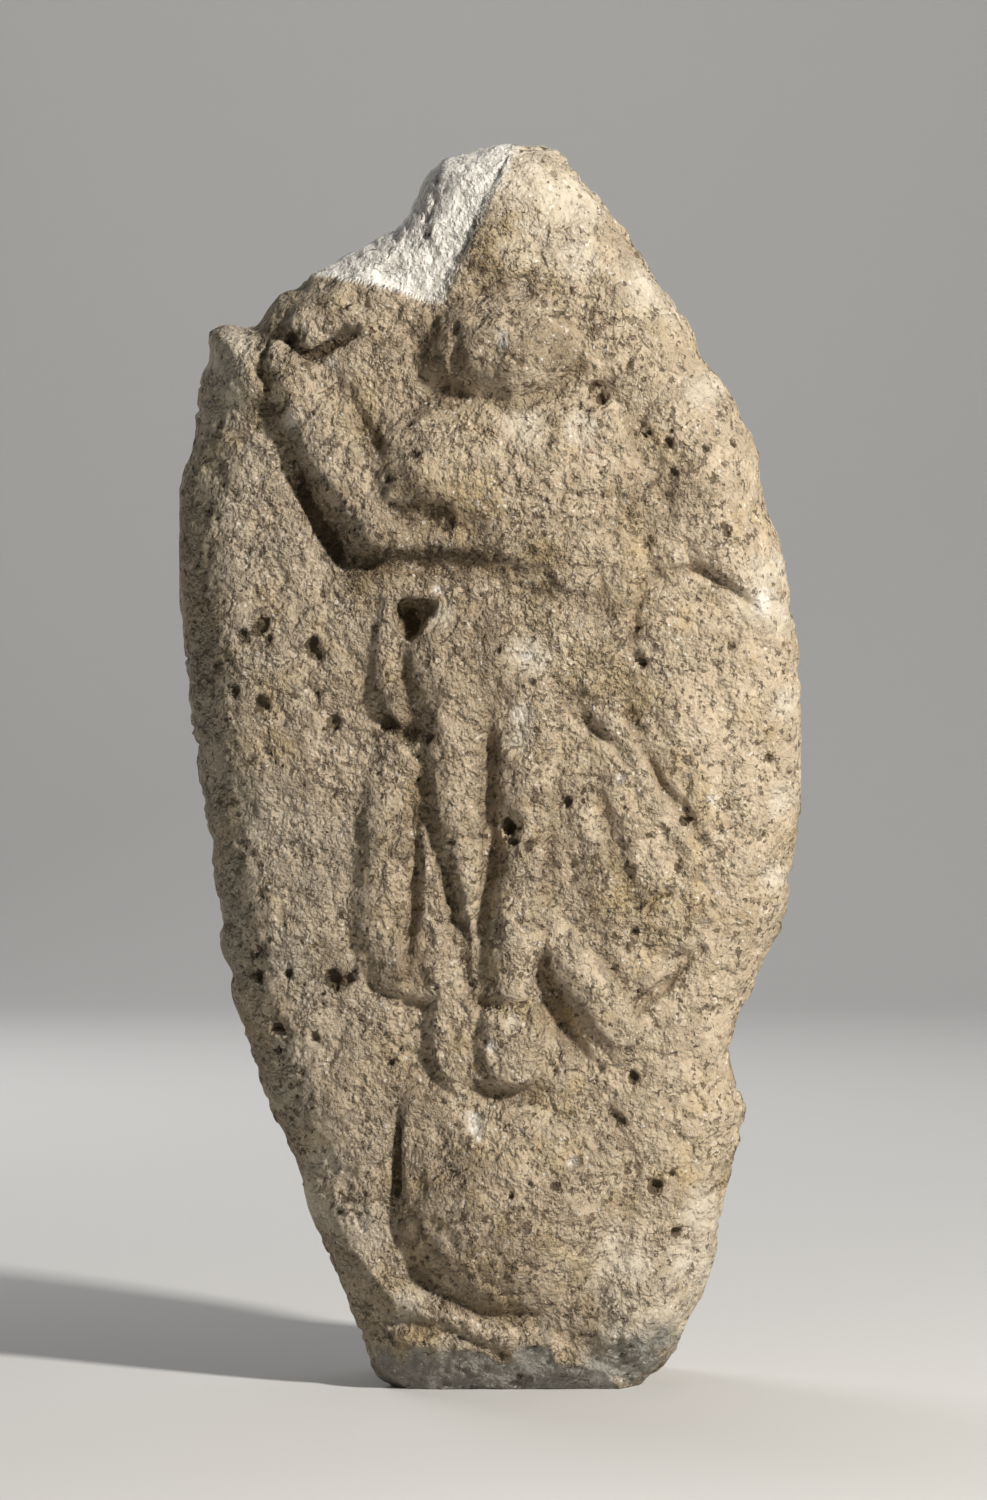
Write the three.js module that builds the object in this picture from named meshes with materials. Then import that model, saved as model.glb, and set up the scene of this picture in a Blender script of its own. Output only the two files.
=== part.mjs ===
// A broken slab of shelly limestone with a winged woman on a globe carved in low relief.
// Millimetres, x to the viewer's right, y into the slab, z up. The carved face looks along -y.

import * as THREE from 'three';

// Driving dimensions
const BACK = 68;                 // flat back, behind the middle plane
const GROUND = 56;               // carved ground at its highest, in front of the middle plane
const WIDTH_FALL = 14;           // how far the ground falls back at the widest part of the slab
const HEIGHT_FALL = 6;           // how far it falls back at the top and the foot
const HALF_WIDTH = 158;
const MIDDLE_HEIGHT = 330;
const HALF_HEIGHT = 320;
const RIM_WIDTH = 30;            // worn rim round the carved face
const RIM_FALL = 18;
const ARRIS_WIDTH = 7;           // sharper turn at the outline itself
const ARRIS_FALL = 8;
const BREAK_SLOPE = 0.8;         // fresh break at the upper left, towards the top
const BREAK_SIDE_SLOPE = 0.2;    // the same break towards the left
const BREAK_STAND = 4;           // what the break's inner edge stands in front of the ground
const FOOT_SETBACK = 36;         // front edge of the underside, in front of the middle plane
const FOOT_SLOPE = 0.8;          // broken slope from there up to the carved face
const FIGURE_SCALE = 0.984;      // the forms below are listed a little over size
const WEAR_BLEND = 5;            // width over which two worn forms run together
const WEAR_PASSES = 2;           // rounds of smoothing over the whole relief
const FLANK_SLOPE = 1.5;         // how steeply a form drops outside its own edge
const LATTICE = 2;               // spacing of the relief's height samples
const GRID = 256;                // finest division of the carved face each way
const FACET_ERROR = 0.85;        // largest distance between a facet and the carved face
const STONE = new THREE.Color('#c6b08c');

// Outline of the slab, each side from the foot up and the top from the left horn to the right
const LEFT_SIDE = [
  [-45, 0], [-56, 8], [-60, 20], [-66, 33], [-79, 66], [-86, 82], [-97, 118], [-111, 146],
  [-123, 184], [-128, 198], [-127, 207], [-133, 220], [-134, 240], [-141, 284], [-149, 342],
  [-155, 398], [-156, 424], [-153, 454], [-147, 474], [-144, 502], [-140, 514], [-139, 528],
];
const TOP_SIDE = [
  [-139, 528], [-131, 531], [-117, 530], [-110, 538], [-103, 546], [-95, 549], [-88, 557],
  [-74, 564], [-56, 574], [-45, 580], [-37, 590], [-30, 605], [-21, 614], [-5, 618], [10, 622],
  [30, 620], [40, 610], [55, 594], [68, 577], [78, 560],
];
const RIGHT_SIDE = [
  [72, 0], [86, 11], [95, 26], [105, 46], [114, 76], [119, 106], [127, 138], [122, 149],
  [118, 165], [121, 179], [127, 192], [137, 215], [146, 234], [150, 256], [156, 299], [156, 334],
  [153, 372], [146, 416], [137, 444], [134, 464], [128, 480], [117, 500], [105, 514], [98, 532],
  [78, 560],
];

// Smooth curve through points of any number of coordinates
function curveThrough(points, closed, steps) {
  const count = points.length;
  const spans = closed ? count : count - 1;
  const at = (i) => (closed ? points[(i + count) % count] : points[Math.min(Math.max(i, 0), count - 1)]);
  const curve = [];
  for (let i = 0; i < spans; i += 1) {
    for (let k = 0; k < steps; k += 1) {
      const t = k / steps;
      curve.push(at(i).map((b, axis) => {
        const a = at(i - 1)[axis];
        const c = at(i + 1)[axis];
        const d = at(i + 2)[axis];
        const bend = (2 * a - 5 * b + 4 * c - d) * t + (3 * b - a - 3 * c + d) * t * t;
        return b + 0.5 * t * (c - a + bend);
      }));
    }
  }
  if (!closed) {
    curve.push(points[count - 1]);
  }
  return curve;
}

// Nearest place on a segment, as the share along it and the distance from it
function nearest(a, b, x, z) {
  const dx = b[0] - a[0];
  const dz = b[1] - a[1];
  const along = ((x - a[0]) * dx + (z - a[1]) * dz) / Math.max(dx * dx + dz * dz, 1e-9);
  const share = THREE.MathUtils.clamp(along, 0, 1);
  return [share, Math.hypot(x - a[0] - share * dx, z - a[1] - share * dz)];
}

// Distance from a line of points
function distanceFrom(line, x, z) {
  let least = Infinity;
  for (let i = 1; i < line.length; i += 1) {
    least = Math.min(least, nearest(line[i - 1], line[i], x, z)[1]);
  }
  return least;
}

// Distance inside a closed outline, negative outside it
function distanceInside(outline, x, z) {
  let inside = false;
  outline.forEach((a, i) => {
    const b = outline[(i + 1) % outline.length];
    if (a[1] > z !== b[1] > z && x < ((b[0] - a[0]) * (z - a[1])) / (b[1] - a[1]) + a[0]) {
      inside = !inside;
    }
  });
  return (inside ? 1 : -1) * distanceFrom([...outline, outline[0]], x, z);
}

// Worn cross-section: 1 at the middle, 0 at the edge, then falling away
function section(t, halfWidth, height, power) {
  if (t < 1) {
    return height * (1 - t * t) ** power;
  }
  return (1 - t) * halfWidth * FLANK_SLOPE;
}

// A rounded bar along a line of [x, z, half width, height]
function ridge(power, line) {
  const path = curveThrough(line, false, 6);
  const height = (x, z) => {
    let best = [Infinity, 1, 0];
    for (let i = 1; i < path.length; i += 1) {
      const a = path[i - 1];
      const b = path[i];
      const [share, gap] = nearest(a, b, x, z);
      const halfWidth = THREE.MathUtils.lerp(a[2], b[2], share);
      if (gap / halfWidth < best[0]) {
        best = [gap / halfWidth, halfWidth, THREE.MathUtils.lerp(a[3], b[3], share)];
      }
    }
    return section(best[0], best[1], best[2], power);
  };
  return { points: line, spread: Math.max(...line.map((p) => p[2])), height };
}

// A level field with rounded edges inside an outline of [x, z]
function plate(rise, bevel, outline) {
  const edge = curveThrough(outline, true, 6);
  const height = (x, z) => {
    const inside = distanceInside(edge, x, z);
    if (inside < 0) {
      return inside * FLANK_SLOPE;
    }
    const t = Math.min(inside / bevel, 1);
    return rise * Math.sqrt(1 - (1 - t) * (1 - t));
  };
  return { points: outline, spread: 3, height };
}

// A rounded swelling or hollow, with half its width and half its height
function dome(power, x0, z0, halfWidth, halfHeight, rise) {
  const corners = [[x0 - halfWidth, z0 - halfHeight], [x0 + halfWidth, z0 + halfHeight]];
  const height = (x, z) => {
    const t = Math.hypot((x - x0) / halfWidth, (z - z0) / halfHeight);
    return section(t, Math.min(halfWidth, halfHeight), rise, power);
  };
  return { points: corners, spread: 0, height };
}

// Forms that stand out from the ground and run together
const RAISED = [
  // field of the figure, a low step above the ground at its left
  plate(4, 26, [
    [-100, 500], [-93, 484], [-82, 464], [-72, 447], [-64, 429], [-58, 408], [-50, 398], [-50, 380],
    [-59, 372], [-62, 355], [-59, 330], [-64, 300], [-67, 260], [-67, 225], [-58, 205], [-33, 196],
    [-27, 165], [-44, 150], [-47, 105], [-38, 66], [20, 32], [75, 30], [125, 110], [130, 170],
    [150, 240], [175, 330], [165, 430], [130, 510], [80, 575], [55, 610], [15, 630], [-20, 625],
    [-50, 590], [-80, 572], [-110, 560], [-125, 545], [-120, 520],
  ]),
  // raised right forearm: its crest, its slope towards the chest, and the elbow
  ridge(0.6, [
    [-107, 523, 8, 8.5], [-100, 503, 10, 9.5], [-91, 485, 11, 10], [-81, 468, 11, 11],
    [-71, 452, 11, 11.5], [-60, 439, 12, 11],
  ]),
  ridge(0.9, [
    [-101, 519, 11, 8], [-91, 499, 15, 9], [-80, 482, 15, 9.5], [-69, 464, 15, 10],
    [-59, 447, 16, 11], [-48, 434, 16, 11],
  ]),
  // what the raised hand held, broken
  plate(8.5, 4, [
    [-102, 532], [-98, 529], [-90, 524], [-81, 530], [-74, 534], [-62, 535], [-59, 543], [-70, 549],
    [-75, 555], [-84, 556], [-94, 553], [-102, 544], [-105, 536],
  ]),
  // worn stone at the left horn
  plate(6, 9, [
    [-138, 532], [-119, 535], [-113, 526], [-116, 516], [-112, 503], [-122, 498], [-132, 501],
    [-138, 509], [-140, 521],
  ]),
  // upper wing
  plate(7.5, 6, [
    [72, 479], [75, 490], [81, 498], [91, 503], [102, 505], [115, 499], [126, 479], [133, 454],
    [138, 426], [139, 399], [131, 403], [118, 409], [105, 418], [93, 416], [81, 417], [79, 444],
    [75, 464],
  ]),
  ridge(0.9, [
    [93, 492, 17, 9], [105, 476, 26, 12], [113, 451, 28, 13], [120, 429, 24, 13],
    [128, 410, 14, 9.5],
  ]),
  // lower layer of the wing
  plate(6, 5, [
    [75, 403], [85, 407], [100, 404], [109, 398], [113, 379], [115, 349], [118, 314], [117, 284],
    [111, 274], [100, 286], [87, 303], [78, 321], [72, 341], [72, 369],
  ]),
  ridge(0.9, [
    [89, 399, 14, 7.5], [92, 374, 21, 8.5], [96, 349, 24, 9], [101, 319, 22, 8.5],
    [107, 294, 15, 7],
  ]),
  // cloak blown out to the side
  plate(6.5, 8, [
    [31, 319], [35, 347], [50, 349], [65, 343], [73, 327], [85, 303], [100, 281], [113, 263],
    [116, 241], [111, 225], [100, 213], [87, 203], [75, 197], [64, 211], [53, 220], [42, 229],
    [31, 239], [29, 274],
  ]),
  // hips
  plate(7, 8, [
    [-43, 379], [-38, 390], [-27, 396], [-10, 398], [15, 400], [38, 403], [60, 404], [70, 401],
    [69, 379], [61, 359], [50, 349], [35, 334], [20, 319], [0, 329], [-20, 329], [-35, 343],
    [-43, 364],
  ]),
  dome(0.8, 17, 373, 50, 40, 13),
  dome(0.9, -22, 369, 27, 40, 13),
  // chest
  dome(0.8, 9, 459, 70, 48, 18),
  dome(0.8, -22, 459, 45, 42, 20),
  dome(0.9, 45, 425, 40, 32, 12),
  plate(9, 12, [
    [-59, 464], [-53, 476], [-44, 484], [-30, 489], [-10, 492], [15, 495], [40, 498], [58, 498],
    [66, 489], [72, 471], [78, 452], [81, 433], [79, 412], [65, 409], [40, 411], [15, 417],
    [-10, 418], [-27, 416], [-49, 414], [-64, 419], [-71, 429], [-70, 441], [-64, 452],
  ]),
  // neck
  ridge(0.8, [[8, 505, 19, 9.5], [9, 489, 26, 9.5]]),
  // head with its hair: the whole mass, the knot over it, and the face
  dome(0.95, 6, 526, 42, 31, 24),
  dome(1, 11, 568, 28, 19, 9),
  dome(0.8, 12, 524, 25, 26, 24),
  // left arm, hanging
  ridge(0.9, [
    [70, 434, 14, 9], [68, 410, 14, 10], [62, 390, 13, 10], [55, 373, 12, 10], [49, 358, 12, 9],
  ]),
  // right and left leg under the dress
  ridge(0.8, [
    [-22, 379, 20, 11], [-19, 354, 19, 13], [-18, 324, 18, 13.5], [-18, 299, 17, 13],
    [-15, 274, 13, 12], [-12, 254, 9, 10.5], [-11, 236, 5, 8],
  ]),
  ridge(0.8, [
    [21, 354, 22, 10.5], [20, 324, 20, 13], [18, 294, 17, 14], [17, 274, 15, 14], [14, 249, 16, 15],
    [13, 224, 17, 15], [12, 199, 16, 13],
  ]),
  // hem over the ankles, and the foot
  plate(6.5, 5, [
    [-30, 196], [-5, 197], [25, 199], [28, 169], [15, 151], [-5, 153], [-22, 154], [-31, 174],
  ]),
  plate(12.5, 7, [
    [-4, 193], [5, 196], [26, 195], [28, 181], [26, 163], [20, 153], [6, 154], [-5, 163], [-7, 178],
  ]),
  // bunched cloth at the hip
  ridge(0.7, [[-50, 399, 7, 4], [-50, 381, 8, 5], [-52, 365, 10, 6.5], [-49, 349, 10, 9]]),
  // leg trailing to the side
  ridge(0.8, [[28, 238, 13, 10], [42, 217, 16, 12.5], [55, 198, 16, 12.5], [67, 181, 14, 10.5]]),
  // globe
  dome(0.9, 11, 94, 60, 56, 22),
  // ridges at the foot of the slab
  ridge(0.8, [
    [-84, 104, 7, 2], [-75, 83, 8, 3.5], [-62, 63, 8, 5], [-45, 47, 9, 6], [-22, 38, 9, 6],
    [3, 30, 9, 6.5], [27, 24, 9, 5],
  ]),
  ridge(0.8, [[-47, 25, 9, 5.5], [-25, 24, 10, 6], [-5, 19, 9, 5]]),
  dome(0.8, 77, 40, 28, 30, 10),
];

// Forms laid on top of those
const ADDED = [
  // stone above the head
  dome(1.5, 5, 581, 46, 30, 2),
  // right breast, shoulder, belly, elbow, and the left edge of the chest
  dome(1.5, -30, 467, 27, 22, 3),
  dome(1.5, 35, 464, 30, 24, 2),
  dome(1.5, 51, 485, 20, 14, 2.5),
  dome(1.5, 15, 425, 46, 13, 2.5),
  dome(1.5, -57, 432, 18, 15, 4),
  ridge(1, [[59, 497, 5, 2], [65, 486, 5, 3], [72, 469, 5, 3], [78, 456, 5, 2], [79, 439, 4, 1]]),
  // brow, nose, mouth and chin
  ridge(1.5, [[-3, 534, 5, 0.8], [9, 537, 6, 1.4], [21, 534, 5, 0.8]]),
  ridge(1.5, [[9, 536, 4.5, 0.8], [9, 526, 5, 2.4], [9, 520, 6, 3]]),
  ridge(1.5, [[2, 512, 4, 0.5], [9, 512, 5, 1.3], [16, 512, 4, 0.5]]),
  dome(1.5, 9, 504, 9, 6, 1.5),
  // folds of the dress at the left
  ridge(0.5, [
    [-48, 320, 9, 1], [-51, 293, 12.5, 3], [-52, 266, 13, 3.2], [-52, 237, 13, 3.2],
    [-47, 213, 11, 3], [-43, 205, 9, 2],
  ]),
  ridge(0.8, [[-33, 299, 6, 1.5], [-30, 269, 8, 3], [-28, 239, 8, 3], [-25, 204, 9, 3]]),
  // folds of the cloak
  ridge(1.2, [
    [38, 329, 8, 0.5], [45, 299, 11, 3.5], [55, 264, 12, 4], [64, 234, 11, 3], [72, 209, 8, 0.5],
  ]),
  ridge(1.2, [
    [55, 337, 8, 0.5], [66, 304, 11, 3.5], [80, 271, 12, 4], [92, 242, 11, 3], [100, 221, 8, 0.5],
  ]),
  ridge(1, [
    [47, 354, 6, 1], [58, 342, 7, 3.5], [71, 328, 6, 4.5], [78, 309, 6, 4], [88, 292, 6, 4],
    [101, 275, 6, 3], [112, 261, 6, 0.5],
  ]),
  // crest of the trailing leg
  ridge(1.2, [[33, 230, 6, 1], [47, 215, 7, 1.5], [61, 199, 7, 1.5], [71, 185, 6, 1]]),
];

// Hollows and grooves
const CUT = [
  // hollow under the right breast, and the fold under the chest
  ridge(1.5, [[-49, 442, 7, 2], [-33, 438, 9, 5], [-19, 440, 10, 5], [-2, 433, 8, 2]]),
  ridge(1.2, [
    [-69, 423, 5, 2], [-53, 416, 5, 4], [-27, 415, 5, 4], [-6, 418, 4, 2.5], [13, 415, 3, 1],
  ]),
  // girdle
  ridge(1.5, [[-20, 391, 4, 1], [-10, 394, 4, 2], [5, 395, 4, 1]]),
  ridge(1.5, [[15, 405, 3, 1.5], [35, 399, 4, 2], [55, 393, 4, 1]]),
  ridge(1.5, [[28, 415, 3, 1.5], [30, 399, 3, 1.5]]),
  ridge(1.5, [[55, 416, 3, 1.5], [57, 399, 3, 1.5]]),
  // eyes
  dome(1.5, 0, 528, 7, 4.5, 1.4),
  dome(1.5, 18, 528, 7, 4.5, 1.4),
  // between the legs, beside the right leg, and the pitted knee
  ridge(1.2, [[0, 349, 4, 1.5], [0, 319, 5, 3], [0, 289, 5, 3], [-1, 259, 5, 3], [-4, 234, 5, 3]]),
  ridge(1.2, [
    [-31, 319, 4, 1.5], [-32, 299, 5, 3], [-27, 271, 5, 3.5], [-19, 249, 5, 4], [-14, 236, 5, 4],
  ]),
  dome(1, 9, 287, 6, 7, 4),
  // grooves between the folds, and their lower end
  ridge(1, [[-38, 299, 3, 2], [-38, 271, 4, 4], [-39, 239, 4, 5], [-41, 219, 4, 5], [-40, 204, 4, 3]]),
  ridge(1.5, [[-19, 254, 3, 1], [-21, 229, 4, 3], [-21, 202, 4, 2]]),
  ridge(1.5, [[-13, 236, 4, 3], [-12, 219, 4, 3], [-11, 199, 4, 2]]),
  ridge(1.5, [[-62, 209, 4, 1], [-52, 201, 5, 3], [-40, 196, 5, 3.5], [-28, 191, 4, 1]]),
  // hem, and round the foot
  ridge(1.5, [[-30, 194, 3, 2], [-30, 176, 3, 2], [-29, 159, 3, 1]]),
  ridge(1.5, [[-6, 197, 4, 2], [10, 197, 4, 2.5], [26, 199, 4, 2]]),
  ridge(1.2, [[-14, 156, 4, 2], [0, 151, 5, 3], [20, 150, 5, 3], [31, 155, 4, 1]]),
  // round the bunched cloth, and the drilled hollow above it
  ridge(1.2, [[-58, 342, 5, 1.5], [-51, 336, 5, 3.5], [-43, 328, 5, 3]]),
  ridge(1.2, [[-43, 374, 3, 1], [-42, 354, 4, 2.5], [-40, 330, 4, 4]]),
  plate(11, 4, [[-48, 396], [-38, 398], [-27, 397], [-31, 388], [-39, 379], [-46, 386]]),
  // grooves of the cloak, and its hem
  ridge(1.2, [[37, 348, 4, 2.5], [46, 340, 4, 4], [56, 330, 4, 4], [66, 321, 4, 1.5]]),
  ridge(1.2, [[52, 309, 5, 1], [57, 287, 5, 3], [64, 266, 5, 3.5], [74, 249, 5, 1.5]]),
  ridge(1.2, [[56, 254, 4, 1], [75, 248, 4, 2], [92, 252, 4, 2], [100, 236, 4, 2], [106, 226, 4, 2]]),
  ridge(1.2, [
    [108, 225, 3, 3], [100, 218, 4, 4.5], [92, 210, 4, 5], [86, 202, 4, 5], [76, 196, 4, 4.5],
    [74, 189, 3, 3],
  ]),
  // between the cloak and the wing, and between the wing's two layers
  ridge(1.2, [
    [76, 404, 3, 2], [74, 393, 3, 2], [71, 372, 3, 1.5], [68, 352, 3, 2], [73, 334, 3, 3],
    [82, 314, 3, 3.5], [90, 304, 3, 3], [101, 289, 3, 2.5], [113, 271, 3, 1],
  ]),
  ridge(1.2, [
    [75, 409, 4, 4], [87, 412, 3, 2], [104, 416, 3, 3], [111, 412, 3, 3.5], [124, 404, 3.5, 4],
    [133, 396, 3.5, 4], [139, 388, 3, 2],
  ]),
  // valley between the chest and the wing
  ridge(1, [[70, 497, 6, 1], [77, 479, 8, 2.5], [83, 459, 9, 3], [85, 439, 9, 3], [83, 419, 7, 2]]),
  // deep hollow beside the trailing leg
  ridge(1.2, [[25, 218, 4, 2], [29, 204, 7, 6], [34, 188, 8, 6], [42, 175, 7, 5], [54, 162, 5, 2]]),
  // round the globe
  ridge(1.2, [[-44, 144, 4, 1], [-48, 124, 4, 2], [-48, 99, 4, 2], [-46, 76, 4, 2]]),
  ridge(1.2, [
    [-40, 61, 5, 2.5], [-20, 47, 5, 2], [5, 39, 5, 3], [28, 37, 5, 2.5], [50, 45, 6, 2],
    [61, 59, 5, 1.5],
  ]),
  ridge(1.2, [
    [50, 151, 5, 1.5], [62, 139, 5, 2.5], [69, 119, 5, 2], [71, 94, 5, 1.5], [66, 71, 5, 1.5],
  ]),
  // foot of the slab
  ridge(1.2, [[-70, 80, 4, 1], [-57, 65, 5, 2.5], [-44, 53, 5, 2.5]]),
  ridge(1.2, [[-35, 32, 4, 2], [-15, 28, 5, 3], [5, 18, 5, 2]]),
  // undercut side of the forearm, and between it and the chest
  ridge(1.2, [
    [-114, 497, 4, 1], [-106, 479, 5, 2], [-96, 459, 6, 3.5], [-85, 440, 7, 5], [-75, 426, 7, 5],
    [-64, 417, 6, 3],
  ]),
  ridge(1.2, [[-78, 513, 5, 1], [-69, 498, 5, 2.5], [-61, 484, 5, 3.5], [-55, 476, 4, 2]]),
  ridge(1.2, [
    [-99, 527, 3, 3], [-90, 521, 4, 4], [-81, 528, 4, 4], [-74, 532, 3, 4], [-66, 534, 3, 2],
  ]),
  // round the head
  ridge(1.2, [
    [-32, 549, 4, 1], [-37, 533, 4, 1.5], [-37, 516, 4, 1.5], [-31, 501, 4, 1.5], [-20, 494, 4, 1],
  ]),
  ridge(1.2, [[-16, 537, 2.5, 1], [-16, 527, 3, 2.5], [-16, 514, 3, 3], [-14, 502, 3, 1.5]]),
  ridge(1.2, [[3, 495, 5, 2], [20, 499, 6, 3.5], [35, 509, 6, 4], [46, 519, 5, 2]]),
  dome(1.2, 56, 506, 9, 8, 4.5),
  ridge(1.2, [[-6, 555, 3, 1], [5, 557, 3, 1.5], [21, 554, 3, 1]]),
];

// The fresh break lies above one line and to the left of another, which meet at its corner
const BREAK_CORNER = [-24, 548];
const BREAK_UP = [0.25, 0.97];
const BREAK_LEFT = [-0.9, 0.43];

function breakFall(x, z) {
  const right = x - BREAK_CORNER[0];
  const up = z - BREAK_CORNER[1];
  const along = (direction) => right * direction[0] + up * direction[1];
  return Math.min(BREAK_SLOPE * along(BREAK_UP), BREAK_SIDE_SLOPE * along(BREAK_LEFT));
}

// Height samples of the relief on a lattice, smoothed by wear
const LATTICE_X0 = -170;
const LATTICE_Z0 = -10;
const LATTICE_COLUMNS = 171;
const LATTICE_ROWS = 326;

function stamp(samples, form, combine) {
  const xs = form.points.map((p) => p[0]);
  const zs = form.points.map((p) => p[1]);
  const margin = form.spread + 6;
  const column = (x) => {
    const whole = Math.round((x - LATTICE_X0) / LATTICE);
    return THREE.MathUtils.clamp(whole, 0, LATTICE_COLUMNS - 1);
  };
  const row = (z) => THREE.MathUtils.clamp(Math.round((z - LATTICE_Z0) / LATTICE), 0, LATTICE_ROWS - 1);
  for (let j = row(Math.min(...zs) - margin); j <= row(Math.max(...zs) + margin); j += 1) {
    for (let i = column(Math.min(...xs) - margin); i <= column(Math.max(...xs) + margin); i += 1) {
      const height = form.height(LATTICE_X0 + i * LATTICE, LATTICE_Z0 + j * LATTICE);
      const at = j * LATTICE_COLUMNS + i;
      samples[at] = combine(samples[at], height);
    }
  }
}

function blendedMax(a, b) {
  const near = Math.max(WEAR_BLEND - Math.abs(a - b), 0) / WEAR_BLEND;
  return Math.max(a, b) + (near * near * WEAR_BLEND) / 4;
}

function smoothed(samples, stride, last) {
  return samples.map((value, at) => {
    const place = stride === 1 ? at % LATTICE_COLUMNS : Math.floor(at / LATTICE_COLUMNS);
    const before = place > 0 ? samples[at - stride] : value;
    const after = place < last ? samples[at + stride] : value;
    return (before + 2 * value + after) / 4;
  });
}

function reliefSamples() {
  let samples = new Float64Array(LATTICE_COLUMNS * LATTICE_ROWS);
  RAISED.forEach((form) => stamp(samples, form, blendedMax));
  ADDED.forEach((form) => stamp(samples, form, (a, b) => a + Math.max(b, 0)));
  CUT.forEach((form) => stamp(samples, form, (a, b) => a - Math.max(b, 0)));
  for (let pass = 0; pass < WEAR_PASSES; pass += 1) {
    samples = smoothed(samples, 1, LATTICE_COLUMNS - 1);
    samples = smoothed(samples, LATTICE_COLUMNS, LATTICE_ROWS - 1);
  }
  return samples;
}

const RELIEF = reliefSamples();

function reliefAt(x, z) {
  const across = (x - LATTICE_X0) / LATTICE;
  const up = (z - LATTICE_Z0) / LATTICE;
  const i = THREE.MathUtils.clamp(Math.floor(across), 0, LATTICE_COLUMNS - 2);
  const j = THREE.MathUtils.clamp(Math.floor(up), 0, LATTICE_ROWS - 2);
  const at = j * LATTICE_COLUMNS + i;
  const low = THREE.MathUtils.lerp(RELIEF[at], RELIEF[at + 1], across - i);
  const above = at + LATTICE_COLUMNS;
  const high = THREE.MathUtils.lerp(RELIEF[above], RELIEF[above + 1], across - i);
  return THREE.MathUtils.lerp(low, high, up - j);
}

// The outline's sides at even spacing, as [x, z] for each share of the way along
function evenSide(points) {
  const curve = curveThrough(points, false, 10);
  const lengths = [0];
  for (let i = 1; i < curve.length; i += 1) {
    const step = Math.hypot(curve[i][0] - curve[i - 1][0], curve[i][1] - curve[i - 1][1]);
    lengths.push(lengths[i - 1] + step);
  }
  return (share) => {
    const target = share * lengths[lengths.length - 1];
    let i = 1;
    while (i < lengths.length - 1 && lengths[i] < target) {
      i += 1;
    }
    const t = (target - lengths[i - 1]) / (lengths[i] - lengths[i - 1]);
    return curve[i].map((end, axis) => THREE.MathUtils.lerp(curve[i - 1][axis], end, t));
  };
}

const leftAt = evenSide(LEFT_SIDE);
const rightAt = evenSide(RIGHT_SIDE);
const topAt = evenSide(TOP_SIDE);
const footAt = evenSide([LEFT_SIDE[0], RIGHT_SIDE[0]]);

// Everything of the outline but the foot, which is broken off straight
const RIM_STEPS = 90;
const shares = Array.from({ length: RIM_STEPS }, (_, k) => k / RIM_STEPS);
const RIM = [
  ...shares.map((share) => rightAt(share)),
  ...shares.map((share) => topAt(1 - share)),
  ...shares.map((share) => leftAt(1 - share)),
  leftAt(0),
];

// A place on the carved face from its shares across and up, filled in from the four sides
function placeOnFace(u, v) {
  const left = leftAt(v);
  const right = rightAt(v);
  const foot = footAt(u);
  const top = topAt(u);
  return [0, 1].map((axis) => {
    const sides = (1 - u) * left[axis] + u * right[axis];
    const ends = (1 - v) * foot[axis] + v * top[axis];
    const low = (1 - u) * LEFT_SIDE[0][axis] + u * RIGHT_SIDE[0][axis];
    const high = (1 - u) * topAt(0)[axis] + u * topAt(1)[axis];
    return sides + ends - (1 - v) * low - v * high;
  });
}

// How far the face stands in front of the middle plane
function faceDepth(x, z) {
  const inside = distanceFrom(RIM, x, z);
  const ground = GROUND - WIDTH_FALL * (x / HALF_WIDTH) ** 2
    - HEIGHT_FALL * ((z - MIDDLE_HEIGHT) / HALF_HEIGHT) ** 2;
  const rim = Math.max(1 - inside / RIM_WIDTH, 0);
  const arris = Math.max(1 - inside / ARRIS_WIDTH, 0);
  const figureX = x / FIGURE_SCALE;
  const figureZ = z / FIGURE_SCALE;
  let depth = ground + reliefAt(figureX, figureZ) - RIM_FALL * rim * rim - ARRIS_FALL * arris * arris;
  const fall = breakFall(figureX, figureZ);
  if (fall > 0) {
    depth = Math.min(depth, ground + BREAK_STAND - fall);
  }
  return Math.min(depth, FOOT_SETBACK + FOOT_SLOPE * z);
}

// The face at every place of the finest grid, as points
function facePoints() {
  const points = [];
  for (let j = 0; j <= GRID; j += 1) {
    for (let i = 0; i <= GRID; i += 1) {
      const [x, z] = placeOnFace(i / GRID, j / GRID);
      points.push(new THREE.Vector3(x, -faceDepth(x, z), z));
    }
  }
  return points;
}

const indexOf = (i, j) => j * (GRID + 1) + i;

// Each triangle is a right angle at c with its long side from a to b, halved at the middle
const ROOTS = [
  [[0, 0], [GRID, GRID], [0, GRID]],
  [[GRID, GRID], [0, 0], [GRID, 0]],
];

function middleOf(a, b) {
  return [(a[0] + b[0]) / 2, (a[1] + b[1]) / 2];
}

function visit([a, b, c], depth, act) {
  if (depth === 0) {
    act(a, b, c);
    return;
  }
  const m = middleOf(a, b);
  visit([c, a, m], depth - 1, act);
  visit([b, c, m], depth - 1, act);
}

// The error of leaving each place out, worked out from the finest triangles to the largest
function gridErrors(points) {
  const errors = new Float64Array(points.length);
  const levels = 2 * Math.log2(GRID);
  const middle = new THREE.Vector3();
  const at = (p) => indexOf(p[0], p[1]);
  for (let level = levels - 1; level >= 0; level -= 1) {
    ROOTS.forEach((root) => visit(root, level, (a, b, c) => {
      const m = middleOf(a, b);
      middle.addVectors(points[at(a)], points[at(b)]).multiplyScalar(0.5);
      let error = middle.distanceTo(points[at(m)]);
      if (level < levels - 1) {
        error = Math.max(error, errors[at(middleOf(a, c))], errors[at(middleOf(b, c))]);
      }
      errors[at(m)] = Math.max(errors[at(m)], error);
    }));
  }
  return errors;
}

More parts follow.
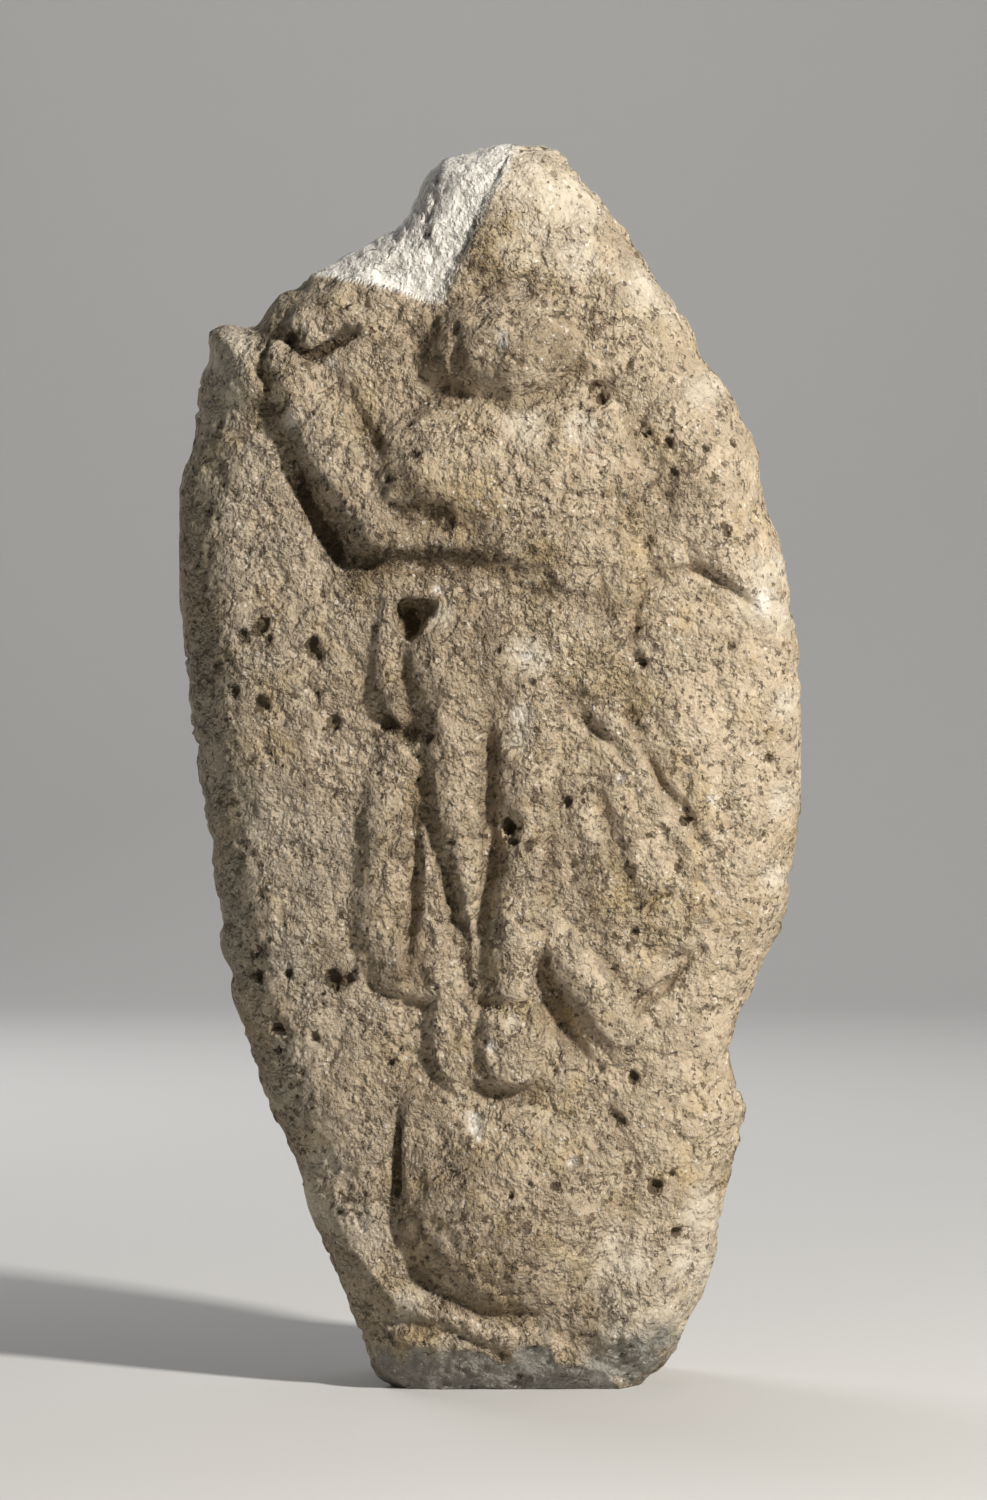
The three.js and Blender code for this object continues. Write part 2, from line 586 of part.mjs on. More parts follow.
// Triangles of the face, split wherever the error asks for it
function faceTriangles(errors) {
  const triangles = [];
  const split = (a, b, c) => {
    const m = middleOf(a, b);
    const whole = Number.isInteger(m[0]) && Number.isInteger(m[1]);
    if (whole && errors[indexOf(m[0], m[1])] > FACET_ERROR) {
      split(c, a, m);
      split(b, c, m);
    } else {
      triangles.push([a, b, c].map((p) => indexOf(p[0], p[1])));
    }
  };
  ROOTS.forEach((root) => split(...root));
  return triangles;
}

// Places on the face's edge that the triangles use: along the foot to the right, and from its
// right end over the top to its left end
function edgePlaces(used) {
  const kept = (places) => places.map(([i, j]) => indexOf(i, j)).filter((at) => used.has(at));
  const up = Array.from({ length: GRID + 1 }, (_, k) => k);
  const down = up.slice().reverse();
  return {
    foot: kept(up.map((k) => [k, 0])),
    around: kept([
      ...up.map((k) => [GRID, k]),
      ...down.slice(1, -1).map((k) => [k, GRID]),
      ...down.map((k) => [0, k]),
    ]),
  };
}

// Rings of the sides and the coarser one round the back: [y, how far in from the outline]
const SIDE_RINGS = [[-10, 1.5], [24, 5], [50, 13]];
const BACK_RING = [BACK, 30];
const BACK_STEP = 4;
const UNDERSIDE_CENTRE = [13, 12, 0];
const SPINE_FOOT = [12, 70];
const SPINE_TOP = [0, 500];
const FOOT_REACH = 90;
const FOOT_INSET = 0.35;

function sidePoint(edge, y, inset) {
  const [share] = nearest(SPINE_FOOT, SPINE_TOP, edge.x, edge.z);
  const spineX = THREE.MathUtils.lerp(SPINE_FOOT[0], SPINE_TOP[0], share);
  const spineZ = THREE.MathUtils.lerp(SPINE_FOOT[1], SPINE_TOP[1], share);
  const reach = Math.hypot(spineX - edge.x, spineZ - edge.z);
  const rise = THREE.MathUtils.smoothstep(edge.z, 0, FOOT_REACH);
  const shift = ((FOOT_INSET + (1 - FOOT_INSET) * rise) * inset) / reach;
  const x = edge.x + (spineX - edge.x) * shift;
  const z = edge.z + (spineZ - edge.z) * shift * rise;
  return new THREE.Vector3(x, y, z);
}

// One closed body: the carved face, the sides in rings, the flat back and the underside
function slabGeometry() {
  const grid = facePoints();
  const triangles = faceTriangles(gridErrors(grid));
  const used = new Map();
  const points = [];
  triangles.flat().forEach((at) => {
    if (!used.has(at)) {
      used.set(at, points.length);
      points.push(grid[at]);
    }
  });
  const faces = triangles.flatMap(([a, b, c]) => [used.get(a), used.get(b), used.get(c)]);
  const { foot, around } = edgePlaces(used);
  const rings = [around.map((at) => used.get(at))];
  SIDE_RINGS.forEach(([y, inset]) => {
    rings.push(around.map((at) => points.push(sidePoint(grid[at], y, inset)) - 1));
  });
  const [backY, backInset] = BACK_RING;
  const coarse = around.filter((_, i) => i % BACK_STEP === 0 || i === around.length - 1);
  rings.push(coarse.map((at) => points.push(sidePoint(grid[at], backY, backInset)) - 1));
  rings.slice(1).forEach((next, k) => {
    const ring = rings[k];
    const step = ring.length === next.length ? 1 : BACK_STEP;
    const facing = (i) => Math.min(Math.round(i / step), next.length - 1);
    for (let i = 1; i < ring.length; i += 1) {
      const [from, to] = [facing(i - 1), i === ring.length - 1 ? next.length - 1 : facing(i)];
      faces.push(ring[i - 1], next[from], ring[i]);
      if (to !== from) {
        faces.push(next[from], next[to], ring[i]);
      }
    }
  });
  const back = rings[rings.length - 1].slice().reverse();
  const flatBack = back.map((at) => new THREE.Vector2(-points[at].x, points[at].z));
  THREE.ShapeUtils.triangulateShape(flatBack, []).forEach(([a, b, c]) => {
    faces.push(back[a], back[b], back[c]);
  });
  const rightEnds = rings.slice(1).map((ring) => ring[0]);
  const leftEnds = rings.slice(1).map((ring) => ring[ring.length - 1]);
  const border = [...foot.map((at) => used.get(at)), ...rightEnds, ...leftEnds.reverse()];
  const centre = points.push(new THREE.Vector3(...UNDERSIDE_CENTRE)) - 1;
  border.forEach((at, k) => faces.push(centre, border[(k + 1) % border.length], at));
  const geometry = new THREE.BufferGeometry().setFromPoints(points);
  geometry.setIndex(faces);
  geometry.computeVertexNormals();
  return geometry;
}

const slab = new THREE.Mesh(
  slabGeometry(),
  new THREE.MeshStandardMaterial({ color: STONE, roughness: 0.95, metalness: 0 }),
);
slab.name = 'relief_slab';

// The origin is under the middle of the slab
slab.geometry.computeBoundingBox();
const middle = slab.geometry.boundingBox.getCenter(new THREE.Vector3());
slab.position.set(-middle.x, -middle.y, 0);

const relief = new THREE.Group();
relief.add(slab);

export default relief;
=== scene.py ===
# A broken slab of shelly limestone with a winged figure on a globe in low relief, dressed on its frame.
# The forms are listed in millimetres, x to the viewer's right, z up, and the scene is in metres.

import bpy
import math
import numpy as np
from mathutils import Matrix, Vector, kdtree


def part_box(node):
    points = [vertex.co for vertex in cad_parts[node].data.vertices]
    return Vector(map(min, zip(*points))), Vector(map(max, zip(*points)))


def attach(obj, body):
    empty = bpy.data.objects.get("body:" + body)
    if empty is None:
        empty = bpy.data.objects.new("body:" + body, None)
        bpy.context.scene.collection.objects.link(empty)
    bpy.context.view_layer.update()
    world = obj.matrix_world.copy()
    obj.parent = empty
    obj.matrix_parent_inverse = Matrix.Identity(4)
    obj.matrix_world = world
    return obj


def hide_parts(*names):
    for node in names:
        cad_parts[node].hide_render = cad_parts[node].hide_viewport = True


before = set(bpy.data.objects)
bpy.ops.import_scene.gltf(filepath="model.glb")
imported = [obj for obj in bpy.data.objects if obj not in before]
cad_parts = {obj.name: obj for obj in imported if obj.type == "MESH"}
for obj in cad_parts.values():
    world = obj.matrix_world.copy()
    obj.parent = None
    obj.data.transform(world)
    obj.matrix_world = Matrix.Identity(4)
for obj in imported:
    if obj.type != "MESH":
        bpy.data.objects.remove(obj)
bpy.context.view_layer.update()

MM = 0.001
NODE = "relief_slab"

# Sizes of the slab, the same as its solid's: its back, and the ground that the relief stands on
BACK = 68
GROUND = 56
WIDTH_FALL = 14
HEIGHT_FALL = 6
HALF_WIDTH = 158
MIDDLE_HEIGHT = 330
HALF_HEIGHT = 320
# its worn rim, with a sharper fall at the very edge
RIM_WIDTH = 30
RIM_FALL = 18
ARRIS_WIDTH = 7
ARRIS_FALL = 8
# the fresh break at the upper left: its slopes, its corner, and the ways it rises
BREAK_SLOPE = 0.8
BREAK_SIDE_SLOPE = 0.2
BREAK_STAND = 4
BREAK_CORNER = (-24, 548)
BREAK_UP = (0.25, 0.97)
BREAK_LEFT = (-0.9, 0.43)
# the break along the foot
FOOT_SETBACK = 36
FOOT_SLOPE = 0.8
# the figure: its scale, and how its forms run together
FIGURE_SCALE = 0.984
WEAR_BLEND = 3
FLANK_SLOPE = 1.5
# the sides: y and inset of each ring, drawn in towards a line up the middle of the slab
SIDE_RINGS = [(-10, 1.5), (24, 5), (50, 13), (BACK, 30)]
SPINE_FOOT = (12, 70)
SPINE_TOP = (0, 500)
FOOT_REACH = 90
FOOT_INSET = 0.35

# Fineness of the mesh
COLUMNS = 185
ROWS = 369
SIDE_STEPS = 12
LATTICE = 1.0
LATTICE_LOW = (-170, -12)
LATTICE_SIZE = (341, 660)
FORM_STEPS = 6
SIDE_CURVE_STEPS = 10
RIM_POINTS = 91
STAMP_MARGIN = 6
PLATE_MARGIN = 3

NOISE_CELLS = 48
NOISE_SHIFT = 500
# points below this lie on the flat underside
UNDERSIDE = 0.01

# Weathering: how far wear smooths the relief, and how far hollows are told from crests
WEAR_SPREAD = 0.9
STANDING_SPREAD = 7
# chipped outer edge
EDGE_WIDTH = 9
EDGE_STAND = 2.3
# flakes and cracks
FLAKE_LEVEL = 0.32
FLAKE_EDGE = 0.1
FLAKE_DEPTH = 0.8
CREASE_WIDTH = 0.1
CREASE_DEPTH = 0.7
# back and sides, and the top of the grey stone at the foot
HIDDEN_FALL = 1.4
FOOT_TOP = 40

# Outline of the slab, each side from the foot up and the top from the left horn to the right
LEFT_SIDE = [
    [-45, 0], [-56, 8], [-60, 20], [-66, 33], [-79, 66], [-86, 82], [-97, 118], [-111, 146], [-123, 184],
    [-128, 198], [-127, 207], [-133, 220], [-134, 240], [-141, 284], [-149, 342], [-155, 398],
    [-156, 424], [-153, 454], [-147, 474], [-144, 502], [-140, 514], [-139, 528],
]
TOP_SIDE = [
    [-139, 528], [-131, 531], [-117, 530], [-110, 538], [-103, 546], [-95, 549], [-88, 557], [-74, 564],
    [-56, 574], [-45, 580], [-37, 590], [-30, 605], [-21, 614], [-5, 618], [10, 622], [30, 620],
    [40, 610], [55, 594], [68, 577], [78, 560],
]
RIGHT_SIDE = [
    [72, 0], [86, 11], [95, 26], [105, 46], [114, 76], [119, 106], [127, 138], [122, 149], [118, 165],
    [121, 179], [127, 192], [137, 215], [146, 234], [150, 256], [156, 299], [156, 334], [153, 372],
    [146, 416], [137, 444], [134, 464], [128, 480], [117, 500], [105, 514], [98, 532], [78, 560],
]

# Curves and distances, on arrays

def clipped(value):
    return np.clip(value, 0, 1)


def curve_through(points, closed, steps):
    points = np.array(points, float)
    count = len(points)
    spans = count if closed else count - 1
    index = np.arange(spans)[:, None] + np.arange(-1, 3)[None]
    index = index % count if closed else np.clip(index, 0, count - 1)
    a, b, c, d = (points[index[:, k]][:, None] for k in range(4))
    t = (np.arange(steps) / steps)[None, :, None]
    bend = (2 * a - 5 * b + 4 * c - d) * t + (3 * b - a - 3 * c + d) * t * t
    curve = (b + 0.5 * t * (c - a + bend)).reshape(-1, points.shape[1])
    return curve if closed else np.concatenate([curve, points[-1:]])


def nearest(a, b, x, z):
    """Share of the way from a to b where the line is nearest, and the distance to it."""
    dx, dz = b[0] - a[0], b[1] - a[1]
    share = clipped(((x - a[0]) * dx + (z - a[1]) * dz) / max(dx * dx + dz * dz, 1e-9))
    return share, np.hypot(x - a[0] - share * dx, z - a[1] - share * dz)


def distance_from(line, x, z):
    least = np.full(x.shape, np.inf)
    for a, b in zip(line[:-1], line[1:]):
        least = np.minimum(least, nearest(a, b, x, z)[1])
    return least


def distance_inside(outline, x, z):
    """Distance to the outline, less than 0 outside it."""
    inside = np.zeros(x.shape, bool)
    for a, b in zip(outline, np.roll(outline, -1, axis=0)):
        if a[1] != b[1]:
            crossing = x < (b[0] - a[0]) * (z - a[1]) / (b[1] - a[1]) + a[0]
            inside ^= ((a[1] > z) != (b[1] > z)) & crossing
    return np.where(inside, 1, -1) * distance_from(np.concatenate([outline, outline[:1]]), x, z)


# Kinds of form: each gives the points and the margin that bound it, and its height at x and z

def section(t, half_width, height, power):
    """Round section that goes on as a slope outside t = 1."""
    inner = height * np.maximum(1 - t * t, 0) ** power
    return np.where(t < 1, inner, (1 - t) * half_width * FLANK_SLOPE)


def ridge(power, line):
    """A ridge along [x, z, half width, height]."""
    path = curve_through(line, False, FORM_STEPS)

    def height(x, z):
        best = np.full(x.shape, np.inf)
        half_width = np.ones(x.shape)
        rise = np.zeros(x.shape)
        for a, b in zip(path[:-1], path[1:]):
            share, gap = nearest(a, b, x, z)
            here = a[2] + share * (b[2] - a[2])
            better = gap / here < best
            best = np.where(better, gap / here, best)
            half_width = np.where(better, here, half_width)
            rise = np.where(better, a[3] + share * (b[3] - a[3]), rise)
        return section(best, half_width, rise, power)

    return line, max(point[2] for point in line), height


def plate(rise, bevel, outline):
    """A flat form with a rounded edge."""
    edge = curve_through(outline, True, FORM_STEPS)

    def height(x, z):
        inside = distance_inside(edge, x, z)
        t = clipped(inside / bevel)
        return np.where(inside < 0, inside * FLANK_SLOPE, rise * np.sqrt(1 - (1 - t) ** 2))

    return outline, PLATE_MARGIN, height


def dome(power, x0, z0, half_width, half_height, rise):
    def height(x, z):
        t = np.hypot((x - x0) / half_width, (z - z0) / half_height)
        return section(t, min(half_width, half_height), rise, power)

    corners = [(x0 - half_width, z0 - half_height), (x0 + half_width, z0 + half_height)]
    return corners, 0, height


# Forms that stand out from the ground and run together
RAISED = [
    # field of the figure, a low step above the ground at its left
    plate(4, 26, [
        [-100, 500], [-93, 484], [-82, 464], [-72, 447], [-64, 429], [-58, 408], [-50, 398], [-50, 380],
        [-59, 372], [-62, 355], [-59, 330], [-64, 300], [-67, 260], [-67, 225], [-58, 205], [-33, 196],
        [-27, 165], [-44, 150], [-47, 105], [-38, 66], [20, 32], [75, 30], [125, 110], [130, 170],
        [150, 240], [175, 330], [165, 430], [130, 510], [80, 575], [55, 610], [15, 630], [-20, 625],
        [-50, 590], [-80, 572], [-110, 560], [-125, 545], [-120, 520],
    ]),
    # raised right forearm: its crest, its slope towards the chest, and the elbow
    ridge(0.6, [
        [-107, 523, 8, 8.5], [-100, 503, 10, 9.5], [-91, 485, 11, 10], [-81, 468, 11, 11],
        [-71, 452, 11, 11.5], [-60, 439, 12, 11],
    ]),
    ridge(0.9, [
        [-101, 519, 11, 8], [-91, 499, 15, 9], [-80, 482, 15, 9.5], [-69, 464, 15, 10],
        [-59, 447, 16, 11], [-48, 434, 16, 11],
    ]),
    # what the raised hand held, broken
    plate(8.5, 4, [
        [-102, 532], [-98, 529], [-90, 524], [-81, 530], [-74, 534], [-62, 535], [-59, 543], [-70, 549],
        [-75, 555], [-84, 556], [-94, 553], [-102, 544], [-105, 536],
    ]),
    # worn stone at the left horn
    plate(6, 9, [
        [-138, 532], [-119, 535], [-113, 526], [-116, 516], [-112, 503], [-122, 498], [-132, 501],
        [-138, 509], [-140, 521],
    ]),
    # upper wing
    plate(7.5, 6, [
        [72, 479], [75, 490], [81, 498], [91, 503], [102, 505], [115, 499], [126, 479], [133, 454],
        [138, 426], [139, 399], [131, 403], [118, 409], [105, 418], [93, 416], [81, 417], [79, 444],
        [75, 464],
    ]),
    ridge(0.9, [
        [93, 492, 17, 9], [105, 476, 26, 12], [113, 451, 28, 13], [120, 429, 24, 13],
        [128, 410, 14, 9.5],
    ]),
    # lower layer of the wing
    plate(6, 5, [
        [75, 403], [85, 407], [100, 404], [109, 398], [113, 379], [115, 349], [118, 314], [117, 284],
        [111, 274], [100, 286], [87, 303], [78, 321], [72, 341], [72, 369],
    ]),
    ridge(0.9, [
        [89, 399, 14, 7.5], [92, 374, 21, 8.5], [96, 349, 24, 9], [101, 319, 22, 8.5], [107, 294, 15, 7],
    ]),
    # cloak blown out to the side
    plate(6.5, 8, [
        [31, 319], [35, 347], [50, 349], [65, 343], [73, 327], [85, 303], [100, 281], [113, 263],
        [116, 241], [111, 225], [100, 213], [87, 203], [75, 197], [64, 211], [53, 220], [42, 229],
        [31, 239], [29, 274],
    ]),
    # hips
    plate(7, 8, [
        [-43, 379], [-38, 390], [-27, 396], [-10, 398], [15, 400], [38, 403], [60, 404], [70, 401],
        [69, 379], [61, 359], [50, 349], [35, 334], [20, 319], [0, 329], [-20, 329], [-35, 343],
        [-43, 364],
    ]),
    dome(0.8, 17, 373, 50, 40, 13),
    dome(0.9, -22, 369, 27, 40, 13),
    # chest
    dome(0.8, 9, 459, 70, 48, 18),
    dome(0.8, -22, 459, 45, 42, 20),
    dome(0.9, 45, 425, 40, 32, 12),
    plate(9, 12, [
        [-59, 464], [-53, 476], [-44, 484], [-30, 489], [-10, 492], [15, 495], [40, 498], [58, 498],
        [66, 489], [72, 471], [78, 452], [81, 433], [79, 412], [65, 409], [40, 411], [15, 417],
        [-10, 418], [-27, 416], [-49, 414], [-64, 419], [-71, 429], [-70, 441], [-64, 452],
    ]),
    # neck
    ridge(0.8, [[8, 505, 19, 9.5], [9, 489, 26, 9.5]]),
    # head with its hair: the whole mass, the knot over it, and the face
    dome(0.95, 6, 526, 42, 31, 24),
    dome(1, 11, 568, 28, 19, 9),
    dome(0.8, 12, 524, 25, 26, 24),
    # left arm, hanging
    ridge(0.9, [
        [70, 434, 14, 9], [68, 410, 14, 10], [62, 390, 13, 10], [55, 373, 12, 10], [49, 358, 12, 9],
    ]),
    # right and left leg under the dress
    ridge(0.8, [
        [-22, 379, 20, 11], [-19, 354, 19, 13], [-18, 324, 18, 13.5], [-18, 299, 17, 13],
        [-15, 274, 13, 12], [-12, 254, 9, 10.5], [-11, 236, 5, 8],
    ]),
    ridge(0.8, [
        [21, 354, 22, 10.5], [20, 324, 20, 13], [18, 294, 17, 14], [17, 274, 15, 14], [14, 249, 16, 15],
        [13, 224, 17, 15], [12, 199, 16, 13],
    ]),
    # hem over the ankles, and the foot
    plate(6.5, 5, [
        [-30, 196], [-5, 197], [25, 199], [28, 169], [15, 151], [-5, 153], [-22, 154], [-31, 174],
    ]),
    plate(12.5, 7, [
        [-4, 193], [5, 196], [26, 195], [28, 181], [26, 163], [20, 153], [6, 154], [-5, 163], [-7, 178],
    ]),
    # bunched cloth at the hip
    ridge(0.7, [[-50, 399, 7, 4], [-50, 381, 8, 5], [-52, 365, 10, 6.5], [-49, 349, 10, 9]]),
    # leg trailing to the side
    ridge(0.8, [[28, 238, 13, 10], [42, 217, 16, 12.5], [55, 198, 16, 12.5], [67, 181, 14, 10.5]]),
    # globe
    dome(0.9, 11, 94, 60, 56, 22),
    # ridges at the foot of the slab
    ridge(0.8, [
        [-84, 104, 7, 2], [-75, 83, 8, 3.5], [-62, 63, 8, 5], [-45, 47, 9, 6], [-22, 38, 9, 6],
        [3, 30, 9, 6.5], [27, 24, 9, 5],
    ]),
    ridge(0.8, [[-47, 25, 9, 5.5], [-25, 24, 10, 6], [-5, 19, 9, 5]]),
    dome(0.8, 77, 40, 28, 30, 10),
]

# Forms laid on top of those
ADDED = [
    # stone above the head
    dome(1.5, 5, 581, 46, 30, 2),
    # right breast, shoulder, belly, elbow, and the left edge of the chest
    dome(1.5, -30, 467, 27, 22, 3),
    dome(1.5, 35, 464, 30, 24, 2),
    dome(1.5, 51, 485, 20, 14, 2.5),
    dome(1.5, 15, 425, 46, 13, 2.5),
    dome(1.5, -57, 432, 18, 15, 4),
    ridge(1, [[59, 497, 5, 2], [65, 486, 5, 3], [72, 469, 5, 3], [78, 456, 5, 2], [79, 439, 4, 1]]),
    # brow, nose, mouth and chin
    ridge(1.5, [[-3, 534, 5, 0.8], [9, 537, 6, 1.4], [21, 534, 5, 0.8]]),
    ridge(1.5, [[9, 536, 4.5, 0.8], [9, 526, 5, 2.4], [9, 520, 6, 3]]),
    ridge(1.5, [[2, 512, 4, 0.5], [9, 512, 5, 1.3], [16, 512, 4, 0.5]]),
    dome(1.5, 9, 504, 9, 6, 1.5),
    # folds of the dress at the left
    ridge(0.5, [
        [-48, 320, 9, 1], [-51, 293, 12.5, 3], [-52, 266, 13, 3.2], [-52, 237, 13, 3.2],
        [-47, 213, 11, 3], [-43, 205, 9, 2],
    ]),
    ridge(0.8, [[-33, 299, 6, 1.5], [-30, 269, 8, 3], [-28, 239, 8, 3], [-25, 204, 9, 3]]),
    # folds of the cloak
    ridge(1.2, [
        [38, 329, 8, 0.5], [45, 299, 11, 3.5], [55, 264, 12, 4], [64, 234, 11, 3], [72, 209, 8, 0.5],
    ]),
    ridge(1.2, [
        [55, 337, 8, 0.5], [66, 304, 11, 3.5], [80, 271, 12, 4], [92, 242, 11, 3], [100, 221, 8, 0.5],
    ]),
    ridge(1, [
        [47, 354, 6, 1], [58, 342, 7, 3.5], [71, 328, 6, 4.5], [78, 309, 6, 4], [88, 292, 6, 4],
        [101, 275, 6, 3], [112, 261, 6, 0.5],
    ]),
    # crest of the trailing leg
    ridge(1.2, [[33, 230, 6, 1], [47, 215, 7, 1.5], [61, 199, 7, 1.5], [71, 185, 6, 1]]),
]

# Hollows and grooves
CUT = [
    # hollow under the right breast, and the fold under the chest
    ridge(1.5, [[-49, 442, 7, 2], [-33, 438, 9, 5], [-19, 440, 10, 5], [-2, 433, 8, 2]]),
    ridge(1.2, [
        [-69, 423, 5, 2], [-53, 416, 5, 4], [-27, 415, 5, 4], [-6, 418, 4, 2.5], [13, 415, 3, 1],
    ]),
    # girdle
    ridge(1.5, [[-20, 391, 4, 1], [-10, 394, 4, 2], [5, 395, 4, 1]]),
    ridge(1.5, [[15, 405, 3, 1.5], [35, 399, 4, 2], [55, 393, 4, 1]]),
    ridge(1.5, [[28, 415, 3, 1.5], [30, 399, 3, 1.5]]),
    ridge(1.5, [[55, 416, 3, 1.5], [57, 399, 3, 1.5]]),
    # eyes
    dome(1.5, 0, 528, 7, 4.5, 1.4),
    dome(1.5, 18, 528, 7, 4.5, 1.4),
    # between the legs, beside the right leg, and the pitted knee
    ridge(1.2, [[0, 349, 4, 1.5], [0, 319, 5, 3], [0, 289, 5, 3], [-1, 259, 5, 3], [-4, 234, 5, 3]]),
    ridge(1.2, [
        [-31, 319, 4, 1.5], [-32, 299, 5, 3], [-27, 271, 5, 3.5], [-19, 249, 5, 4], [-14, 236, 5, 4],
    ]),
    dome(1, 9, 287, 6, 7, 4),
    # grooves between the folds, and their lower end
    ridge(1, [[-38, 299, 3, 2], [-38, 271, 4, 4], [-39, 239, 4, 5], [-41, 219, 4, 5], [-40, 204, 4, 3]]),
    ridge(1.5, [[-19, 254, 3, 1], [-21, 229, 4, 3], [-21, 202, 4, 2]]),
    ridge(1.5, [[-13, 236, 4, 3], [-12, 219, 4, 3], [-11, 199, 4, 2]]),
    ridge(1.5, [[-62, 209, 4, 1], [-52, 201, 5, 3], [-40, 196, 5, 3.5], [-28, 191, 4, 1]]),
    # hem, and round the foot
    ridge(1.5, [[-30, 194, 3, 2], [-30, 176, 3, 2], [-29, 159, 3, 1]]),
    ridge(1.5, [[-6, 197, 4, 2], [10, 197, 4, 2.5], [26, 199, 4, 2]]),
    ridge(1.2, [[-14, 156, 4, 2], [0, 151, 5, 3], [20, 150, 5, 3], [31, 155, 4, 1]]),
    # round the bunched cloth, and the drilled hollow above it
    ridge(1.2, [[-58, 342, 5, 1.5], [-51, 336, 5, 3.5], [-43, 328, 5, 3]]),
    ridge(1.2, [[-43, 374, 3, 1], [-42, 354, 4, 2.5], [-40, 330, 4, 4]]),
    plate(11, 4, [[-48, 396], [-38, 398], [-27, 397], [-31, 388], [-39, 379], [-46, 386]]),
    # grooves of the cloak, and its hem
    ridge(1.2, [[37, 348, 4, 2.5], [46, 340, 4, 4], [56, 330, 4, 4], [66, 321, 4, 1.5]]),
    ridge(1.2, [[52, 309, 5, 1], [57, 287, 5, 3], [64, 266, 5, 3.5], [74, 249, 5, 1.5]]),
    ridge(1.2, [[56, 254, 4, 1], [75, 248, 4, 2], [92, 252, 4, 2], [100, 236, 4, 2], [106, 226, 4, 2]]),
    ridge(1.2, [
        [108, 225, 3, 3], [100, 218, 4, 4.5], [92, 210, 4, 5], [86, 202, 4, 5], [76, 196, 4, 4.5],
        [74, 189, 3, 3],
    ]),
    # between the cloak and the wing, and between the wing's two layers
    ridge(1.2, [
        [76, 404, 3, 2], [74, 393, 3, 2], [71, 372, 3, 1.5], [68, 352, 3, 2], [73, 334, 3, 3],
        [82, 314, 3, 3.5], [90, 304, 3, 3], [101, 289, 3, 2.5], [113, 271, 3, 1],
    ]),
    ridge(1.2, [
        [75, 409, 4, 4], [87, 412, 3, 2], [104, 416, 3, 3], [111, 412, 3, 3.5], [124, 404, 3.5, 4],
        [133, 396, 3.5, 4], [139, 388, 3, 2],
    ]),
    # valley between the chest and the wing
    ridge(1, [[70, 497, 6, 1], [77, 479, 8, 2.5], [83, 459, 9, 3], [85, 439, 9, 3], [83, 419, 7, 2]]),
    # deep hollow beside the trailing leg
    ridge(1.2, [[25, 218, 4, 2], [29, 204, 7, 6], [34, 188, 8, 6], [42, 175, 7, 5], [54, 162, 5, 2]]),
    # round the globe
    ridge(1.2, [[-44, 144, 4, 1], [-48, 124, 4, 2], [-48, 99, 4, 2], [-46, 76, 4, 2]]),
    ridge(1.2, [
        [-40, 61, 5, 2.5], [-20, 47, 5, 2], [5, 39, 5, 3], [28, 37, 5, 2.5], [50, 45, 6, 2],
        [61, 59, 5, 1.5],
    ]),
    ridge(1.2, [
        [50, 151, 5, 1.5], [62, 139, 5, 2.5], [69, 119, 5, 2], [71, 94, 5, 1.5], [66, 71, 5, 1.5],
    ]),
    # foot of the slab
    ridge(1.2, [[-70, 80, 4, 1], [-57, 65, 5, 2.5], [-44, 53, 5, 2.5]]),
    ridge(1.2, [[-35, 32, 4, 2], [-15, 28, 5, 3], [5, 18, 5, 2]]),
    # undercut side of the forearm, and between it and the chest
    ridge(1.2, [
        [-114, 497, 4, 1], [-106, 479, 5, 2], [-96, 459, 6, 3.5], [-85, 440, 7, 5], [-75, 426, 7, 5],
        [-64, 417, 6, 3],
    ]),
    ridge(1.2, [[-78, 513, 5, 1], [-69, 498, 5, 2.5], [-61, 484, 5, 3.5], [-55, 476, 4, 2]]),
    ridge(1.2, [
        [-99, 527, 3, 3], [-90, 521, 4, 4], [-81, 528, 4, 4], [-74, 532, 3, 4], [-66, 534, 3, 2],
    ]),
    # round the head
    ridge(1.2, [
        [-32, 549, 4, 1], [-37, 533, 4, 1.5], [-37, 516, 4, 1.5], [-31, 501, 4, 1.5], [-20, 494, 4, 1],
    ]),
    ridge(1.2, [[-16, 537, 2.5, 1], [-16, 527, 3, 2.5], [-16, 514, 3, 3], [-14, 502, 3, 1.5]]),
    ridge(1.2, [[3, 495, 5, 2], [20, 499, 6, 3.5], [35, 509, 6, 4], [46, 519, 5, 2]]),
    dome(1.2, 56, 506, 9, 8, 4.5),
    ridge(1.2, [[-6, 555, 3, 1], [5, 557, 3, 1.5], [21, 554, 3, 1]]),
]

# Height samples of the relief on a lattice, smoothed by wear

def stamp(samples, xs, zs, form, combine):
    points, spread, height = form
    reach = spread + STAMP_MARGIN
    low = np.min([p[:2] for p in points], axis=0) - reach
    high = np.max([p[:2] for p in points], axis=0) + reach
    columns = slice(*np.searchsorted(xs, [low[0], high[0]]))
    rows = slice(*np.searchsorted(zs, [low[1], high[1]]))
    x, z = np.meshgrid(xs[columns], zs[rows])
    if x.size:
        samples[rows, columns] = combine(samples[rows, columns], height(x, z))


def blended_max(a, b):
    near = np.maximum(WEAR_BLEND - np.abs(a - b), 0) / WEAR_BLEND
    return np.maximum(a, b) + near * near * WEAR_BLEND / 4


def smoothed(samples, spread):
    reach = int(3 * spread) + 1
    weights = np.exp(-0.5 * (np.arange(-reach, reach + 1) / spread) ** 2)
    weights /= weights.sum()
    for axis in (0, 1):
        pad = [(reach, reach) if k == axis else (0, 0) for k in (0, 1)]
        padded = np.pad(samples, pad, mode="edge")
        size = samples.shape[axis]
        samples = sum(w * np.take(padded, range(k, k + size), axis=axis) for k, w in enumerate(weights))
    return samples


